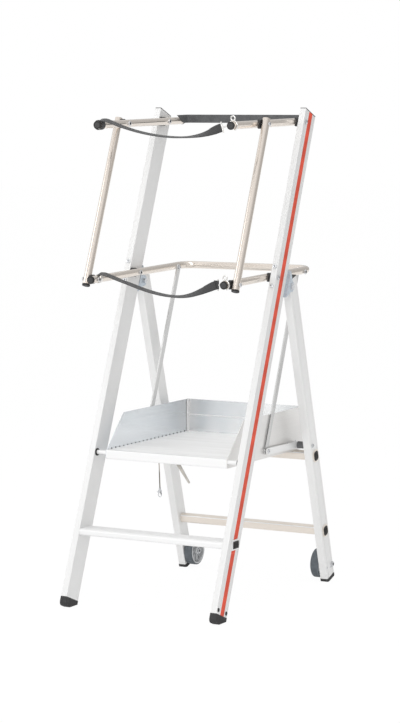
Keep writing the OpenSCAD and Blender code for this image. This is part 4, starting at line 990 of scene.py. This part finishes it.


# The thin dark lines along the inner side of each hand rail are a painted reflection: the dark band that a shiny tube
# shows.
bm = bmesh.new()
for side in (-1, 1):
    x = side * (RAIL_X - TUBE_R - 0.0001)
    strip(bm, on_rail(hand, x, -0.255), on_rail(hand, x, -0.03), 0.0016, OUT_OF[-side], 0.0005)
    strip(bm, on_rail(hand, x, -0.43), on_rail(hand, x, -0.3), 0.0016, OUT_OF[-side], 0.0005)
new_piece("hand_rail_painted_reflection_lines", bm, "hand_rail_body", "black_plastic", disc_plastic)

# A thin dark strip on each strut's front edge, where it passes the toe board, is the painted shadow of the gap
# between strut and board.
run = (strut_top - strut_low).normalized()
fore = Vector((0, -run.z, run.y))
for side, label in ((-1, "left"), (1, "right")):
    bm = bmesh.new()
    edge = beside(strut_low, side * 227) + fore * 0.0112
    strip(bm, edge + run * 0.004, edge + run * 0.125, 0.0018, fore, 0.0012)
    new_piece(f"strut_painted_gap_shadow_{label}", bm, f"strut_{label}_body", "black_plastic", disc_plastic)

# %% Painted highlights on the crossbars' upper edges
BAR_DEEP, BAR_HIGH, BAR_ROUND, BAR_HALF = 0.027, 0.03, 0.008, (LEG_OUT - 27.5) * MM
fore = Vector((0, -math.cos(LEG_LEAN), -math.sin(LEG_LEAN)))
up = Vector((0, -math.sin(LEG_LEAN), math.cos(LEG_LEAN)))
corner_in = BAR_ROUND * (1 - math.sqrt(0.5))
# A white strip on each crossbar's rounded upper front edge is a painted highlight.
bm = bmesh.new()
for node in ("rear_crossbar_lower", "rear_crossbar_upper"):
    middle = sum(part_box(node), Vector()) / 2
    edge = middle + fore * (BAR_DEEP / 2 - corner_in) + up * (BAR_HIGH / 2 - corner_in)
    strip(bm, edge - Vector((BAR_HALF, 0, 0)), edge + Vector((BAR_HALF, 0, 0)), 0.0032, (fore + up).normalized(), 0.0008)
new_piece("crossbar_painted_edge_highlights", bm, "rear_frame", "white_aluminium", profile_metal)

# %% Tray trim
GROOVES, GROOVE_PITCH, GROOVE_FROM = 21, 0.0268, 0.02575
BOARD_T, FLANGE, DOUBLE_H, DECK_TOP = 0.0025, 0.014, 0.06, deck_z + 0.01
tray_back, tray_half, tray_top = (getattr(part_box("toe_board_rear")[1], axis) for axis in "yxz")
SLOT_LONG, SLOT_LOW, SLOT_HIGH = 0.0055, -0.0015, 0.0042
# The white strips on the rear corner flanges and on the rear board's rolled edge are real folds with a painted
# highlight along them.
slots, seams, fold_highlight_strips = bmesh.new(), bmesh.new(), bmesh.new()
for side in (-1, 1):
    x, inward = side * (tray_half - 0.0001), OUT_OF[-side]
    for i in range(GROOVES):
        y = deck_y + GROOVE_FROM + GROOVE_PITCH * i
        z = DECK_TOP + (SLOT_LOW + SLOT_HIGH) / 2
        strip(slots, Vector((x, y - SLOT_LONG / 2, z)), Vector((x, y + SLOT_LONG / 2, z)),
              SLOT_HIGH - SLOT_LOW, inward, 0.0006)
    seam_y = tray_back - BOARD_T - FLANGE - 0.0008
    strip(seams, Vector((x, seam_y, DECK_TOP)), Vector((x, seam_y, tray_top - 0.001)), 0.0011, inward, 0.0006)
    x, y = side * (tray_half - BOARD_T), tray_back - BOARD_T - FLANGE / 2
    strip(fold_highlight_strips, Vector((x, y, DECK_TOP + 0.001)), Vector((x, y, tray_top - 0.001)), FLANGE - 0.002, inward, 0.0008)
y, z = tray_back - 2 * BOARD_T, DECK_TOP + DOUBLE_H - 0.001
strip(fold_highlight_strips, Vector((-tray_half + 0.006, y, z)), Vector((tray_half - 0.006, y, z)), 0.003, Vector((0, -1, 0)), 0.002)
# The weep slots are dark strips, painted shade for the holes.
new_piece("board_weep_slots", slots, "platform", "dark_rubber", painted_hole_shade)
new_piece("board_corner_seams", seams, "platform", "dark_rubber", spacer_plastic)
new_piece("board_painted_fold_highlights", fold_highlight_strips, "platform", "white_aluminium", profile_metal)

# %% [markdown]
# ## The snap hook
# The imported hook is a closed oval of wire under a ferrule. A real snap hook also has a cast body round
# the upper half of the oval, a dark spring gate and a small thumb lever. The body and the gate are
# rounded boxes, and the lever is a disc that is extruded three times and turned a little at each step.

# %% Snap hook
hook_top = cord_path[-1]
bm = bmesh.new()
for size, edge, place, turn, dark in (((10.5, 4.6, 13), 2.0, (0.3, 0, -12.5), 0.12, 0),
                                      ((3.0, 5.0, 12), 1.2, (4.6, 0, -17), -0.15, 1),
                                      ((6, 6, 6.5), 1.6, (0, 0, -2.5), 0.0, 1)):
    part = bar(size, edge, 3)
    for face in part.faces:
        face.material_index = dark
    placed(bm, part, Matrix.Translation(hook_top + Vector(place) * MM) @ Matrix.Rotation(turn, 4, "Y"))

part = bmesh.new()
made = bmesh.ops.create_circle(part, cap_ends=True, segments=8, radius=1.1 * MM)
face = made["verts"][0].link_faces[0]
for turn, length in ((0, 3.2), (0.5, 2.4), (0.5, 2.0)):
    grown = bmesh.ops.extrude_face_region(part, geom=[face])["geom"]
    face = next(g for g in grown if isinstance(g, bmesh.types.BMFace))
    bmesh.ops.rotate(part, verts=face.verts, cent=face.calc_center_median(), matrix=Matrix.Rotation(turn, 3, "Y"))
    bmesh.ops.translate(part, verts=face.verts, vec=face.normal * length * MM)
placed(bm, part, facing(hook_top + Vector((-5.0, 0, -17.5)) * MM, (-0.8, 0, 0.6)))
new_piece("snap_hook_body", bm, "platform", "bolt_steel", steel_finish, spacer_plastic)
